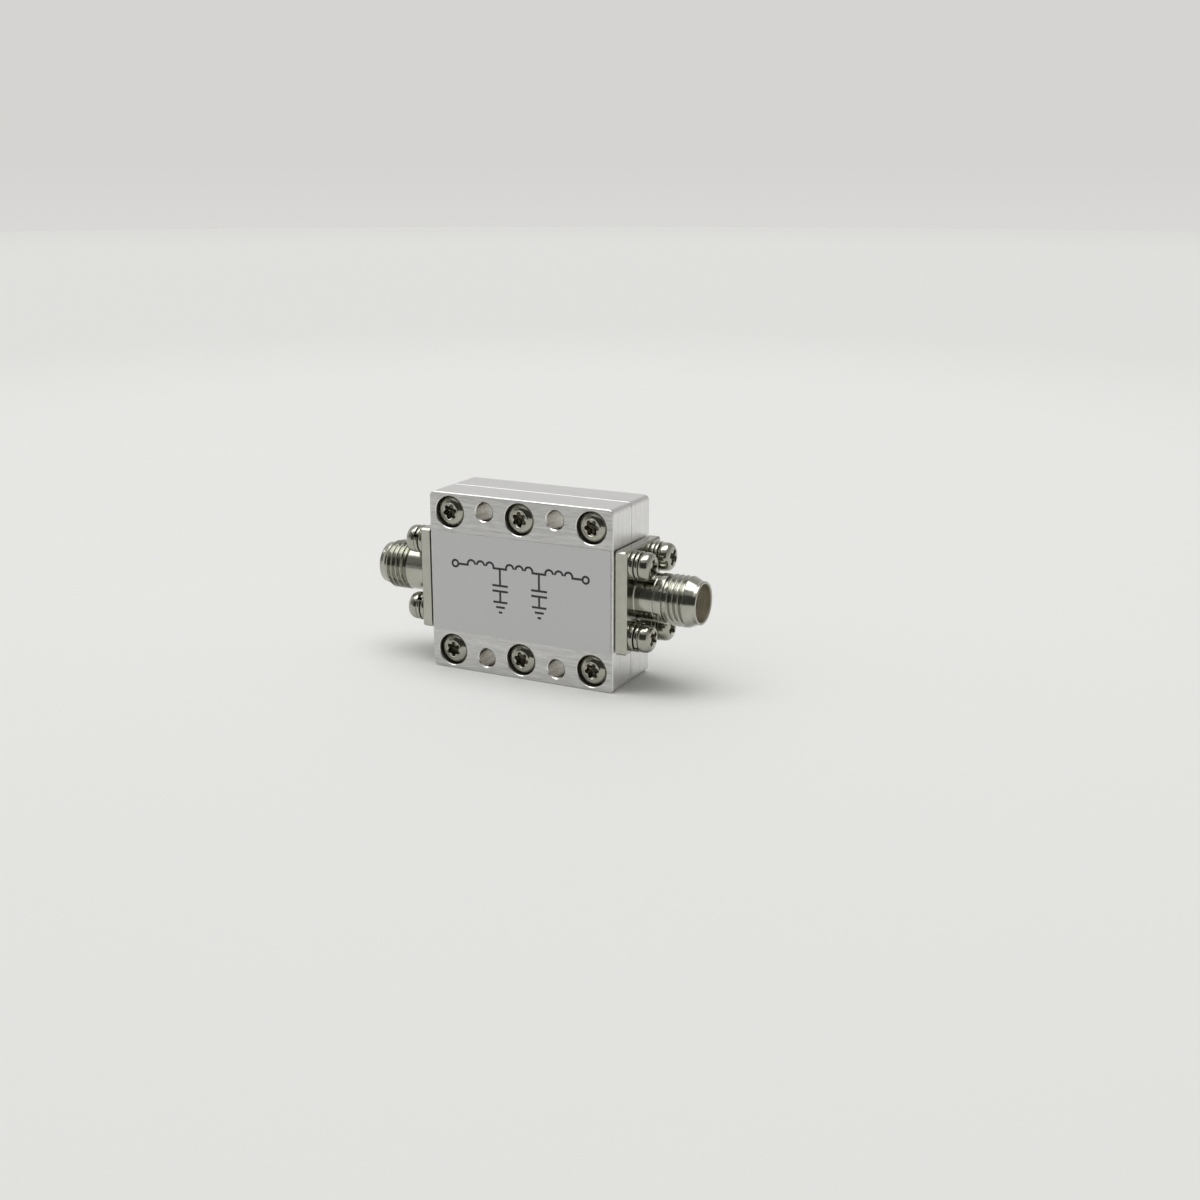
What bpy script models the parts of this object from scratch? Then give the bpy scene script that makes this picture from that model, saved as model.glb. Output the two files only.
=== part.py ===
"""Coaxial low-pass filter: a split aluminium housing with a panel jack on each end.

Metres, +Z up. The origin is at the bottom centre of the housing, +X runs along the signal line,
-Y is the front, where the label and the cover screws are.
"""
import math

import bmesh
import bpy
from mathutils import Matrix, Vector

# Housing: two equal halves that meet at Y = 0
HOUSING_LENGTH = 0.0254
HOUSING_HEIGHT = 0.0226
HALF_DEPTH = 0.00495
CORNER_RADIUS = 0.0007
CORNER_FACETS = 3
EDGE_BREAK = 0.00015
SEAM_BREAK = 0.00006

# Screws that hold the halves together
COVER_SCREW_END = 0.0029
COVER_SCREW_EDGE = 0.00245
COVER_HEAD_DIAMETER = 0.0038
COVER_HEAD_HEIGHT = 0.0016
COVER_HEAD_FILLET = 0.0004
COVER_HEAD_RECESS = 0.0005
COVER_HEAD_CLEARANCE = 0.00014
COVER_SCREW_LENGTH = 0.0055
SOCKET_LOBES = 6
LOBE_SOCKET_POINTS = 0.00190
LOBE_SOCKET_ROOTS = 0.00136
LOBE_SOCKET_DEPTH = 0.0008
COVER_SCREW_TURN = math.radians(17)

# Metric thread of every screw, drawn at its outer diameter
SCREW_THREAD_DIAMETER = 0.0020
SCREW_POINT_CHAMFER = 0.0002
TAP_CLEARANCE = 0.00005
TAP_EXTRA_DEPTH = 0.0006

# Plain holes through both halves, midway between the cover screws
MOUNT_HOLE_EDGE = 0.0020
MOUNT_HOLE_DIAMETER = 0.0024
MOUNT_HOLE_CHAMFER = 0.00013

# Label film on the front face
LABEL_MARGIN = 0.0003
LABEL_HEIGHT = 0.0127
LABEL_THICKNESS = 0.0001

# Flange of a jack
FLANGE_INSET = 0.00015
FLANGE_HEIGHT = 0.0127
FLANGE_THICKNESS = 0.00165
FLANGE_EDGE_BREAK = 0.00010
FLANGE_SCREW_SPACING_Y = 0.0055
FLANGE_SCREW_SPACING_Z = 0.0088
FLANGE_HOLE_CLEARANCE = 0.00015

# Barrel of a jack, from its insulator outwards and from its flange to its nose
BEAD_DIAMETER = 0.0041
BARREL_WALL = 0.00090
BARREL_LENGTH = 0.00238
COLLAR_LENGTH = 0.00118
COLLAR_DROP = 0.00007
COLLAR_CHAMFER = 0.00012
SOCKET_LEDGE = 0.000265
SOCKET_DEPTH = 0.00195
NOSE_WALL = 0.000335
NOSE_LENGTH = 0.00087
NOSE_EDGE_BREAK = 0.00008
THREAD_PITCH = 0.0254 / 36
THREAD_FLANK_ANGLE = math.radians(30)
THREAD_DEPTH_PER_PITCH = 0.6134
THREAD_CREST_PER_PITCH = 1 / 8
THREAD_LENGTH = 0.00345
THREAD_RELIEF = 0.00035
THREAD_ROOT_RISE = 0.00004

# Insulator bead and centre contact of a jack
BEAD_COLLAR_STEP = 0.0004
BEAD_COLLAR_LENGTH = 0.0008
BEAD_STEP_LENGTH = 0.0007
CONTACT_DIAMETER = 0.00127
CONTACT_SOCKET_DIAMETER = 0.00092
CONTACT_SOCKET_DEPTH = 0.0026
CONTACT_SLOT_WIDTH = 0.0002
CONTACT_SLOT_DEPTH = 0.0018
TAIL_DIAMETER = 0.00076
TAIL_REACH = 0.0026
FIT_CLEARANCE = 0.00003

# Filter line in the housing
ENTRY_BORE_DIAMETER = 0.0030
ENTRY_BORE_LENGTH = 0.0015
CHANNEL_DIAMETER = 0.0052
SLEEVE_WALL = 0.00034
DISC_COUNT = 4
DISC_LENGTH = 0.0018
LINK_DIAMETER = 0.0009
END_ROD_DIAMETER = 0.0013
END_ROD_SETBACK = 0.0004
END_ROD_LENGTH = 0.0034
TAIL_HOLE_EXTRA = 0.0004

# Screws and washers on the flanges
PAN_HEAD_DIAMETER = 0.00375
PAN_HEAD_HEIGHT = 0.00140
PAN_HEAD_SIDE = 0.00045
PAN_HEAD_FACE_DIAMETER = 0.0020
FLANGE_SCREW_LENGTH = 0.0060
CROSS_WIDTH = 0.00050
CROSS_SPAN = 0.0019
CROSS_DEPTH = 0.0008
FLANGE_SCREW_TURN = math.radians(23)
WASHER_DIAMETER = 0.0036
FLAT_WASHER_THICKNESS = 0.0006
SPRING_WASHER_THICKNESS = 0.00065
WASHER_BORE_CLEARANCE = 0.00015
SPRING_WASHER_GAP = 0.0004

# Facets round a turn
BARREL_SIDES = 18
LINE_SIDES = 12
HOLE_SIDES = 14
HEAD_SIDES = 12
WASHER_SIDES = 12
SHANK_SIDES = 8
TAP_SIDES = 12
CONTACT_SIDES = 10
CROWN_STEPS = 2

# Sizes and places that follow from those above
AXIS_HEIGHT = HOUSING_HEIGHT / 2
HOUSING_END = HOUSING_LENGTH / 2
COVER_SCREW_PITCH = HOUSING_END - COVER_SCREW_END
COUNTERBORE_DIAMETER = COVER_HEAD_DIAMETER + 2 * COVER_HEAD_CLEARANCE
COUNTERBORE_DEPTH = COVER_HEAD_HEIGHT + COVER_HEAD_RECESS
TAP_DIAMETER = SCREW_THREAD_DIAMETER + 2 * TAP_CLEARANCE
WASHER_BORE = SCREW_THREAD_DIAMETER + 2 * WASHER_BORE_CLEARANCE
WASHER_STACK = FLAT_WASHER_THICKNESS + SPRING_WASHER_THICKNESS
FLANGE_DEPTH = 2 * (HALF_DEPTH - FLANGE_INSET)
FLANGE_FACE = HOUSING_END + FLANGE_THICKNESS
BARREL_RADIUS = BEAD_DIAMETER / 2 + BARREL_WALL
SOCKET_RADIUS = BEAD_DIAMETER / 2 + SOCKET_LEDGE
NOSE_RADIUS = SOCKET_RADIUS + NOSE_WALL
THREAD_DEPTH = THREAD_DEPTH_PER_PITCH * THREAD_PITCH
THREAD_RADIUS = NOSE_RADIUS + THREAD_ROOT_RISE + THREAD_DEPTH
COLLAR_RADIUS = THREAD_RADIUS - COLLAR_DROP
COLLAR_START = FLANGE_THICKNESS + BARREL_LENGTH
THREAD_START = COLLAR_START + COLLAR_LENGTH
NOSE_START = THREAD_START + THREAD_LENGTH
JACK_LENGTH = NOSE_START + NOSE_LENGTH
BEAD_LENGTH = JACK_LENGTH - SOCKET_DEPTH
BEAD_COLLAR_RADIUS = BEAD_DIAMETER / 2 + BEAD_COLLAR_STEP
DISC_RADIUS = CHANNEL_DIAMETER / 2 - SLEEVE_WALL - 2 * FIT_CLEARANCE
LINE_END = HOUSING_END - END_ROD_SETBACK
LINK_LENGTH = (2 * (LINE_END - END_ROD_LENGTH) - DISC_COUNT * DISC_LENGTH) / (DISC_COUNT + 1)

# How far a cutter reaches past a face, and how close points count as one
CUT_MARGIN = 0.0005
WELD_DISTANCE = 0.000001

# Collections
PARTS = "coaxial_low_pass_filter"
CUTTERS = "cutters"


def fresh_collection(name):
    old = bpy.data.collections.get(name)
    if old:
        bpy.data.collections.remove(old)
    bpy.context.scene.collection.children.link(bpy.data.collections.new(name))


def finish(name, color, roughness, metallic=1.0):
    """A Principled material in the part's own colour."""
    material = bpy.data.materials.new(name)
    material.use_nodes = True
    material.diffuse_color = (*color, 1.0)
    shader = material.node_tree.nodes["Principled BSDF"]
    shader.inputs["Base Color"].default_value = (*color, 1.0)
    shader.inputs["Roughness"].default_value = roughness
    shader.inputs["Metallic"].default_value = metallic
    return material


def new_object(name, mesh, material=None, cutter=False):
    """Link a mesh as a named part, or as a hidden cutter."""
    obj = bpy.data.objects.new(name, mesh)
    bpy.data.collections[CUTTERS if cutter else PARTS].objects.link(obj)
    if cutter:
        obj.hide_render = True
        obj.display_type = "WIRE"
    elif material:
        mesh.materials.append(material)
    return obj


def mesh_from(bm, name):
    mesh = bpy.data.meshes.new(name)
    bm.to_mesh(mesh)
    bm.free()
    return mesh


def turned(name, profile, sides, material=None, cutter=False, ring=False):
    """A solid of revolution about its local Z.

    The profile is (radius, height) points that run down the outer side, from the top to the
    bottom. A ring's profile goes on up its inner side and closes on itself.
    """
    bm = bmesh.new()
    verts = [bm.verts.new((radius, 0, height)) for radius, height in profile]
    for upper, lower in zip(verts, verts[1:]):
        bm.edges.new((upper, lower))
    if ring:
        bm.edges.new((verts[-1], verts[0]))
    obj = new_object(name, mesh_from(bm, name), material, cutter)
    screw = obj.modifiers.new("turn", "SCREW")
    screw.axis = "Z"
    screw.angle = 2 * math.pi
    screw.steps = sides
    screw.render_steps = sides
    screw.use_merge_vertices = True
    screw.merge_threshold = WELD_DISTANCE
    return obj


def cylinder(name, diameter, length, sides):
    """A cutter cylinder along its local Z, standing on its origin."""
    bm = bmesh.new()
    bmesh.ops.create_cone(
        bm, cap_ends=True, segments=sides, radius1=diameter / 2, radius2=diameter / 2, depth=length,
        matrix=Matrix.Translation((0, 0, length / 2)),
    )
    return new_object(name, mesh_from(bm, name), cutter=True)


def block_mesh(name, size, corner=0.0, front_break=0.0, rear_break=0.0):
    """A box centred on its origin, with round corners seen from the front and broken edges."""
    bm = bmesh.new()
    bmesh.ops.create_cube(bm, size=1.0, matrix=Matrix.Diagonal((*size, 1.0)))
    if corner:
        upright = [e for e in bm.edges if abs(e.verts[0].co.y - e.verts[1].co.y) > size[1] / 2]
        bmesh.ops.bevel(
            bm, geom=upright, offset=corner, segments=CORNER_FACETS, profile=0.5, affect="EDGES",
            material=-1,
        )
    for side, width in ((-1, front_break), (1, rear_break)):
        if width:
            reach = side * size[1] / 2
            rim = [e for e in bm.edges if all(abs(v.co.y - reach) < WELD_DISTANCE for v in e.verts)]
            bmesh.ops.bevel(
                bm, geom=rim, offset=width, segments=1, profile=0.5, affect="EDGES", material=-1
            )
    return mesh_from(bm, name)


def cut(body, cutter, operation="DIFFERENCE"):
    boolean = body.modifiers.new(cutter.name, "BOOLEAN")
    boolean.operation = operation
    boolean.object = cutter
    boolean.solver = "EXACT"


def finished_mesh(obj):
    """The mesh of an object with its modifiers done. The object and its cutters are removed."""
    bpy.context.view_layer.update()
    evaluated = obj.evaluated_get(bpy.context.evaluated_depsgraph_get())
    mesh = bpy.data.meshes.new_from_object(evaluated)
    mesh.name = obj.name
    cutters = [m.object for m in obj.modifiers if m.type == "BOOLEAN"]
    for used in [*cutters, obj]:
        bpy.data.objects.remove(used)
    return mesh


def round_shading(mesh, degrees=35):
    mesh.shade_smooth()
    mesh.set_sharp_from_angle(angle=math.radians(degrees))


def place(obj, location, facing, turn=0.0):
    """Put an object at a place, with its local Z along facing and a turn about that axis."""
    spin = Matrix.Rotation(turn, 4, "Z")
    aim = Vector(facing).to_track_quat("Z", "Y").to_matrix().to_4x4()
    obj.matrix_world = Matrix.Translation(location) @ aim @ spin


def cover_screw_places():
    """Six places on the front face as (x, z), the top row first."""
    rows = (HOUSING_HEIGHT - COVER_SCREW_EDGE, COVER_SCREW_EDGE)
    return [(column * COVER_SCREW_PITCH, z) for z in rows for column in (-1, 0, 1)]


def mount_hole_places():
    """Four through holes as (x, z)."""
    rows = (HOUSING_HEIGHT - MOUNT_HOLE_EDGE, MOUNT_HOLE_EDGE)
    return [(side * COVER_SCREW_PITCH / 2, z) for z in rows for side in (-1, 1)]


def flange_screw_places():
    """Four places on a flange as (y, z)."""
    return [
        (row * FLANGE_SCREW_SPACING_Y / 2, AXIS_HEIGHT + level * FLANGE_SCREW_SPACING_Z / 2)
        for level in (1, -1)
        for row in (-1, 1)
    ]


def channel_cutter():
    """The round channel of the filter line, with a narrow entry at each end."""
    inner_end = HOUSING_END - ENTRY_BORE_LENGTH
    outer_end = HOUSING_END + CUT_MARGIN
    profile = [
        (0, outer_end),
        (ENTRY_BORE_DIAMETER / 2, outer_end),
        (ENTRY_BORE_DIAMETER / 2, inner_end),
        (CHANNEL_DIAMETER / 2, inner_end),
        (CHANNEL_DIAMETER / 2, -inner_end),
        (ENTRY_BORE_DIAMETER / 2, -inner_end),
        (ENTRY_BORE_DIAMETER / 2, -outer_end),
        (0, -outer_end),
    ]
    channel = turned("channel", profile, LINE_SIDES, cutter=True)
    place(channel, (0, 0, AXIS_HEIGHT), (1, 0, 0))
    return channel


def mount_hole_cutter(x, z, side):
    """A through hole in one half, with a small chamfer at the outer face."""
    radius = MOUNT_HOLE_DIAMETER / 2
    rim = radius + MOUNT_HOLE_CHAMFER
    profile = [
        (0, HALF_DEPTH + CUT_MARGIN),
        (rim, HALF_DEPTH + CUT_MARGIN),
        (rim, HALF_DEPTH),
        (radius, HALF_DEPTH - MOUNT_HOLE_CHAMFER),
        (radius, -CUT_MARGIN),
        (0, -CUT_MARGIN),
    ]
    hole = turned("mount_hole", profile, HOLE_SIDES, cutter=True)
    place(hole, (x, 0, z), (0, side, 0))
    return hole


def flange_tap_cutters(side):
    """Tapped holes for the flange screws in one half, from both end faces."""
    depth = FLANGE_SCREW_LENGTH - WASHER_STACK - FLANGE_THICKNESS + TAP_EXTRA_DEPTH
    holes = []
    for end in (-1, 1):
        for y, z in flange_screw_places():
            if y * side > 0:
                hole = cylinder("flange_tap", TAP_DIAMETER, depth + CUT_MARGIN, TAP_SIDES)
                place(hole, (end * (HOUSING_END + CUT_MARGIN), y, z), (-end, 0, 0))
                holes.append(hole)
    return holes


def housing_half(name, side, material):
    """One half of the housing, with the holes that both halves share. side is -1 for the front."""
    size = (HOUSING_LENGTH, HALF_DEPTH, HOUSING_HEIGHT)
    breaks = (EDGE_BREAK, SEAM_BREAK) if side < 0 else (SEAM_BREAK, EDGE_BREAK)
    half = new_object(name, block_mesh(name, size, CORNER_RADIUS, *breaks), material)
    half.location = (0, side * HALF_DEPTH / 2, AXIS_HEIGHT)
    cut(half, channel_cutter())
    for x, z in mount_hole_places():
        cut(half, mount_hole_cutter(x, z, side))
    for hole in flange_tap_cutters(side):
        cut(half, hole)
    return half


def housing_front(material):
    """The front half has a counterbore and a clearance hole for each cover screw."""
    half = housing_half("housing_front", -1, material)
    floor = HALF_DEPTH - COUNTERBORE_DEPTH
    profile = [
        (0, HALF_DEPTH + CUT_MARGIN),
        (COUNTERBORE_DIAMETER / 2, HALF_DEPTH + CUT_MARGIN),
        (COUNTERBORE_DIAMETER / 2, floor),
        (TAP_DIAMETER / 2, floor),
        (TAP_DIAMETER / 2, -CUT_MARGIN),
        (0, -CUT_MARGIN),
    ]
    for x, z in cover_screw_places():
        hole = turned("counterbore", profile, HOLE_SIDES, cutter=True)
        place(hole, (x, 0, z), (0, -1, 0))
        cut(half, hole)
    return half


def housing_rear(material):
    """The rear half has a blind tapped hole for each cover screw."""
    half = housing_half("housing_rear", 1, material)
    web = HALF_DEPTH - COUNTERBORE_DEPTH
    depth = COVER_SCREW_LENGTH - web + TAP_EXTRA_DEPTH
    for x, z in cover_screw_places():
        hole = cylinder("cover_tap", TAP_DIAMETER, depth + CUT_MARGIN, TAP_SIDES)
        place(hole, (x, -CUT_MARGIN, z), (0, 1, 0))
        cut(half, hole)
    return half


def label(material):
    size = (HOUSING_LENGTH - 2 * LABEL_MARGIN, LABEL_THICKNESS, LABEL_HEIGHT)
    film = new_object("label", block_mesh("label", size), material)
    film.location = (0, -HALF_DEPTH - LABEL_THICKNESS / 2, AXIS_HEIGHT)


def crown_steps(inner, outer, low, high):
    """The round edge of a head, a quarter ellipse from (inner, high) to (outer, low)."""
    angles = [math.pi / 2 * step / CROWN_STEPS for step in range(CROWN_STEPS + 1)]
    return [
        (inner + (outer - inner) * math.sin(a), low + (high - low) * math.cos(a)) for a in angles
    ]


def shank_steps(length):
    """Profile of a screw's shank, from inside its head down to the chamfered point."""
    radius = SCREW_THREAD_DIAMETER / 2
    return [
        (0, CUT_MARGIN),
        (radius, CUT_MARGIN),
        (radius, -length + SCREW_POINT_CHAMFER),
        (radius - SCREW_POINT_CHAMFER, -length),
        (0, -length),
    ]


def screw_mesh(name, head, underside, length, cutters):
    """A screw with a head profile, a shank of fewer sides and a cut socket. Its seat is at Z = 0."""
    screw = turned(name, [*head, (underside, 0), (0, 0)], HEAD_SIDES, cutter=True)
    shank = turned("shank", shank_steps(length), SHANK_SIDES, cutter=True)
    cut(screw, shank, "UNION")
    for socket in cutters:
        cut(screw, socket)
    return finished_mesh(screw)


def lobe_socket():
    """A six-lobe socket: an outline of lobes with every other corner drawn in."""
    floor = COVER_HEAD_HEIGHT - LOBE_SOCKET_DEPTH
    bm = bmesh.new()
    bmesh.ops.create_circle(
        bm, cap_ends=True, segments=2 * SOCKET_LOBES, radius=LOBE_SOCKET_POINTS / 2,
        matrix=Matrix.Translation((0, 0, floor)),
    )
    roots = list(bm.verts)[1::2]
    ratio = LOBE_SOCKET_ROOTS / LOBE_SOCKET_POINTS
    bmesh.ops.scale(bm, vec=(ratio, ratio, 1), verts=roots)
    lifted = bmesh.ops.extrude_face_region(bm, geom=bm.faces[:])["geom"]
    tops = [item for item in lifted if isinstance(item, bmesh.types.BMVert)]
    bmesh.ops.translate(bm, vec=(0, 0, LOBE_SOCKET_DEPTH + CUT_MARGIN), verts=tops)
    bmesh.ops.recalc_face_normals(bm, faces=bm.faces[:])
    return new_object("lobe_socket", mesh_from(bm, "lobe_socket"), cutter=True)


def cross_socket():
    """The two crossing slots of a cross recess."""
    slots = []
    for size in ((CROSS_SPAN, CROSS_WIDTH), (CROSS_WIDTH, CROSS_SPAN)):
        height = CROSS_DEPTH + CUT_MARGIN
        slot = new_object("cross_slot", block_mesh("cross_slot", (*size, height)), cutter=True)
        slot.location = (0, 0, PAN_HEAD_HEIGHT - CROSS_DEPTH + height / 2)
        slots.append(slot)
    return slots


def cover_screws(material):
    """Six socket head screws, sunk in the front half, each turned its own way."""
    edge = COVER_HEAD_DIAMETER / 2
    rim = COVER_HEAD_HEIGHT - COVER_HEAD_FILLET
    crown = crown_steps(edge - COVER_HEAD_FILLET, edge, rim, COVER_HEAD_HEIGHT)
    head = [(0, COVER_HEAD_HEIGHT), *crown]
    mesh = screw_mesh("cover_screw", head, edge, COVER_SCREW_LENGTH, [lobe_socket()])
    round_shading(mesh)
    mesh.materials.append(material)
    seat = -HALF_DEPTH + COUNTERBORE_DEPTH
    for index, (x, z) in enumerate(cover_screw_places()):
        screw = new_object(f"cover_screw_{index + 1}", mesh)
        place(screw, (x, seat, z), (0, -1, 0), COVER_SCREW_TURN * index)


def flat_washer_mesh():
    outer, inner = WASHER_DIAMETER / 2, WASHER_BORE / 2
    profile = [
        (outer, FLAT_WASHER_THICKNESS), (outer, 0), (inner, 0), (inner, FLAT_WASHER_THICKNESS)
    ]
    return finished_mesh(turned("flat_washer", profile, WASHER_SIDES, cutter=True, ring=True))


def spring_washer_mesh():
    """One turn of square wire with a gap, pressed flat under the head."""
    outer, inner, top = WASHER_DIAMETER / 2, WASHER_BORE / 2, SPRING_WASHER_THICKNESS
    gap = SPRING_WASHER_GAP / outer
    bm = bmesh.new()
    corners = ((outer, 0), (outer, top), (inner, top), (inner, 0))
    section = bm.faces.new([bm.verts.new((radius, 0, height)) for radius, height in corners])
    bmesh.ops.rotate(bm, cent=(0, 0, 0), matrix=Matrix.Rotation(gap / 2, 3, "Z"), verts=bm.verts[:])
    bmesh.ops.spin(
        bm, geom=[section, *section.edges, *section.verts], cent=(0, 0, 0), axis=(0, 0, 1),
        angle=2 * math.pi - gap, steps=WASHER_SIDES, use_duplicate=False,
    )
    bmesh.ops.recalc_face_normals(bm, faces=bm.faces[:])
    return mesh_from(bm, "spring_washer")


def flange_fasteners(screw_metal, washer_metal):
    """A pan head screw, a spring washer and a flat washer at each hole of both flanges."""
    crown = crown_steps(
        PAN_HEAD_FACE_DIAMETER / 2, PAN_HEAD_DIAMETER / 2, PAN_HEAD_SIDE, PAN_HEAD_HEIGHT
    )
    head = [(0, PAN_HEAD_HEIGHT), *crown]
    screw = screw_mesh(
        "flange_screw", head, PAN_HEAD_DIAMETER / 2, FLANGE_SCREW_LENGTH, cross_socket()
    )
    flat = flat_washer_mesh()
    spring = spring_washer_mesh()
    kinds = (
        ("flat_washer", flat, 0, washer_metal),
        ("spring_washer", spring, FLAT_WASHER_THICKNESS, washer_metal),
        ("flange_screw", screw, WASHER_STACK, screw_metal),
    )
    for _, mesh, _, material in kinds:
        round_shading(mesh)
        mesh.materials.append(material)
    number = 0
    for end in (-1, 1):
        for y, z in flange_screw_places():
            number += 1
            for name, mesh, height, _ in kinds:
                obj = new_object(f"{name}_{number}", mesh)
                seat = (end * (FLANGE_FACE + height), y, z)
                place(obj, seat, (end, 0, 0), FLANGE_SCREW_TURN * number)


def thread_rod():
    """The threaded length as one closed rod.

    One pitch of the thread form is spun up as a helix, cut square at both ends, closed, and
    drawn in to the chamfer at the nose.
    """
    bottom = THREAD_START + THREAD_RELIEF
    top = NOSE_START - THREAD_ROOT_RISE
    root = THREAD_RADIUS - THREAD_DEPTH
    flat = THREAD_CREST_PER_PITCH * THREAD_PITCH
    flank = THREAD_DEPTH * math.tan(THREAD_FLANK_ANGLE)
    form = (
        (root, 0),
        (THREAD_RADIUS, flank),
        (THREAD_RADIUS, flank + flat),
        (root, 2 * flank + flat),
        (root, THREAD_PITCH),
    )
    bm = bmesh.new()
    verts = [bm.verts.new((radius, 0, bottom - THREAD_PITCH + z)) for radius, z in form]
    edges = [bm.edges.new(pair) for pair in zip(verts, verts[1:])]
    turns = math.ceil((top - bottom) / THREAD_PITCH) + 2
    bmesh.ops.spin(
        bm, geom=[*verts, *edges], cent=(0, 0, 0), axis=(0, 0, 1),
        dvec=(0, 0, THREAD_PITCH / BARREL_SIDES), angle=2 * math.pi * turns,
        steps=BARREL_SIDES * turns, use_duplicate=False,
    )
    bmesh.ops.remove_doubles(bm, verts=bm.verts[:], dist=WELD_DISTANCE)
    for height, normal in ((bottom, (0, 0, -1)), (top, (0, 0, 1))):
        whole = [*bm.verts, *bm.edges, *bm.faces]
        bmesh.ops.bisect_plane(
            bm, geom=whole, dist=WELD_DISTANCE, plane_co=(0, 0, height), plane_no=normal,
            clear_outer=True,
        )
    bmesh.ops.holes_fill(bm, edges=[edge for edge in bm.edges if edge.is_boundary])
    chamfer_start = NOSE_START - (THREAD_RADIUS - NOSE_RADIUS)
    for vert in bm.verts:
        radius = math.hypot(vert.co.x, vert.co.y)
        limit = THREAD_RADIUS - max(0, vert.co.z - chamfer_start)
        if radius > limit:
            vert.co.xy *= limit / radius
    bmesh.ops.recalc_face_normals(bm, faces=bm.faces[:])
    return new_object("thread_rod", mesh_from(bm, "thread_rod"), cutter=True)


def jack_barrel():
    """The turned outside of a jack without its thread, from its nose down into its flange."""
    profile = [
        (0, JACK_LENGTH),
        (NOSE_RADIUS - NOSE_EDGE_BREAK, JACK_LENGTH),
        (NOSE_RADIUS, JACK_LENGTH - NOSE_EDGE_BREAK),
        (NOSE_RADIUS, THREAD_START),
        (COLLAR_RADIUS, THREAD_START),
        (COLLAR_RADIUS, COLLAR_START + COLLAR_CHAMFER),
        (COLLAR_RADIUS - COLLAR_CHAMFER, COLLAR_START),
        (BARREL_RADIUS, COLLAR_START),
        (BARREL_RADIUS, FLANGE_THICKNESS / 2),
        (0, FLANGE_THICKNESS / 2),
    ]
    return turned("jack_barrel", profile, BARREL_SIDES, cutter=True)


def jack_bore():
    """The mating socket, the bore for the bead and the seat of the bead's collar."""
    bead_bore = BEAD_DIAMETER / 2 + FIT_CLEARANCE
    collar_bore = BEAD_COLLAR_RADIUS + FIT_CLEARANCE
    profile = [
        (0, JACK_LENGTH + CUT_MARGIN),
        (SOCKET_RADIUS, JACK_LENGTH + CUT_MARGIN),
        (SOCKET_RADIUS, BEAD_LENGTH),
        (bead_bore, BEAD_LENGTH),
        (bead_bore, BEAD_COLLAR_LENGTH),
        (collar_bore, BEAD_COLLAR_LENGTH),
        (collar_bore, -CUT_MARGIN),
        (0, -CUT_MARGIN),
    ]
    return turned("jack_bore", profile, BARREL_SIDES, cutter=True)


def jack_mesh():
    """Flange, barrel and thread as one piece. Its back face is at Z = 0."""
    size = (FLANGE_DEPTH, FLANGE_HEIGHT, FLANGE_THICKNESS)
    bm = bmesh.new()
    raise_up = Matrix.Translation((0, 0, FLANGE_THICKNESS / 2))
    bmesh.ops.create_cube(bm, size=1.0, matrix=raise_up @ Matrix.Diagonal((*size, 1.0)))
    bmesh.ops.bevel(
        bm, geom=bm.edges[:], offset=FLANGE_EDGE_BREAK, segments=1, profile=0.5, affect="EDGES",
        material=-1,
    )
    jack = new_object("jack", mesh_from(bm, "jack"), cutter=True)
    cut(jack, jack_barrel(), "UNION")
    cut(jack, thread_rod(), "UNION")
    cut(jack, jack_bore())
    hole = SCREW_THREAD_DIAMETER + 2 * FLANGE_HOLE_CLEARANCE
    for y, z in flange_screw_places():
        drill = cylinder("flange_hole", hole, FLANGE_THICKNESS + 2 * CUT_MARGIN, TAP_SIDES)
        drill.location = (y, z - AXIS_HEIGHT, -CUT_MARGIN)
        cut(jack, drill)
    return finished_mesh(jack)


def bead_mesh():
    """The insulator bead: a collar held between flange and housing, and a stepped bore."""
    tail_bore = TAIL_DIAMETER / 2 + FIT_CLEARANCE
    contact_bore = CONTACT_DIAMETER / 2 + FIT_CLEARANCE
    profile = [
        (BEAD_DIAMETER / 2, BEAD_LENGTH),
        (BEAD_DIAMETER / 2, BEAD_COLLAR_LENGTH),
        (BEAD_COLLAR_RADIUS, BEAD_COLLAR_LENGTH),
        (BEAD_COLLAR_RADIUS, 0),
        (tail_bore, 0),
        (tail_bore, BEAD_STEP_LENGTH),
        (contact_bore, BEAD_STEP_LENGTH),
        (contact_bore, BEAD_LENGTH),
    ]
    return finished_mesh(turned("bead", profile, BARREL_SIDES, cutter=True, ring=True))


def contact_mesh():
    """The centre contact: a slotted socket, a shoulder on the bead's step and a tail pin."""
    profile = [
        (0, BEAD_LENGTH),
        (CONTACT_DIAMETER / 2, BEAD_LENGTH),
        (CONTACT_DIAMETER / 2, BEAD_STEP_LENGTH),
        (TAIL_DIAMETER / 2, BEAD_STEP_LENGTH),
        (TAIL_DIAMETER / 2, -TAIL_REACH),
        (0, -TAIL_REACH),
    ]
    contact = turned("contact", profile, CONTACT_SIDES, cutter=True)
    length = CONTACT_SOCKET_DEPTH + CUT_MARGIN
    bore = cylinder("contact_bore", CONTACT_SOCKET_DIAMETER, length, CONTACT_SIDES)
    bore.location = (0, 0, BEAD_LENGTH - CONTACT_SOCKET_DEPTH)
    cut(contact, bore)
    reach = CONTACT_DIAMETER + 2 * CUT_MARGIN
    for size in ((reach, CONTACT_SLOT_WIDTH), (CONTACT_SLOT_WIDTH, reach)):
        height = CONTACT_SLOT_DEPTH + CUT_MARGIN
        slot = new_object("contact_slot", block_mesh("contact_slot", (*size, height)), cutter=True)
        slot.location = (0, 0, BEAD_LENGTH - CONTACT_SLOT_DEPTH + height / 2)
        cut(contact, slot)
    return finished_mesh(contact)


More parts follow.
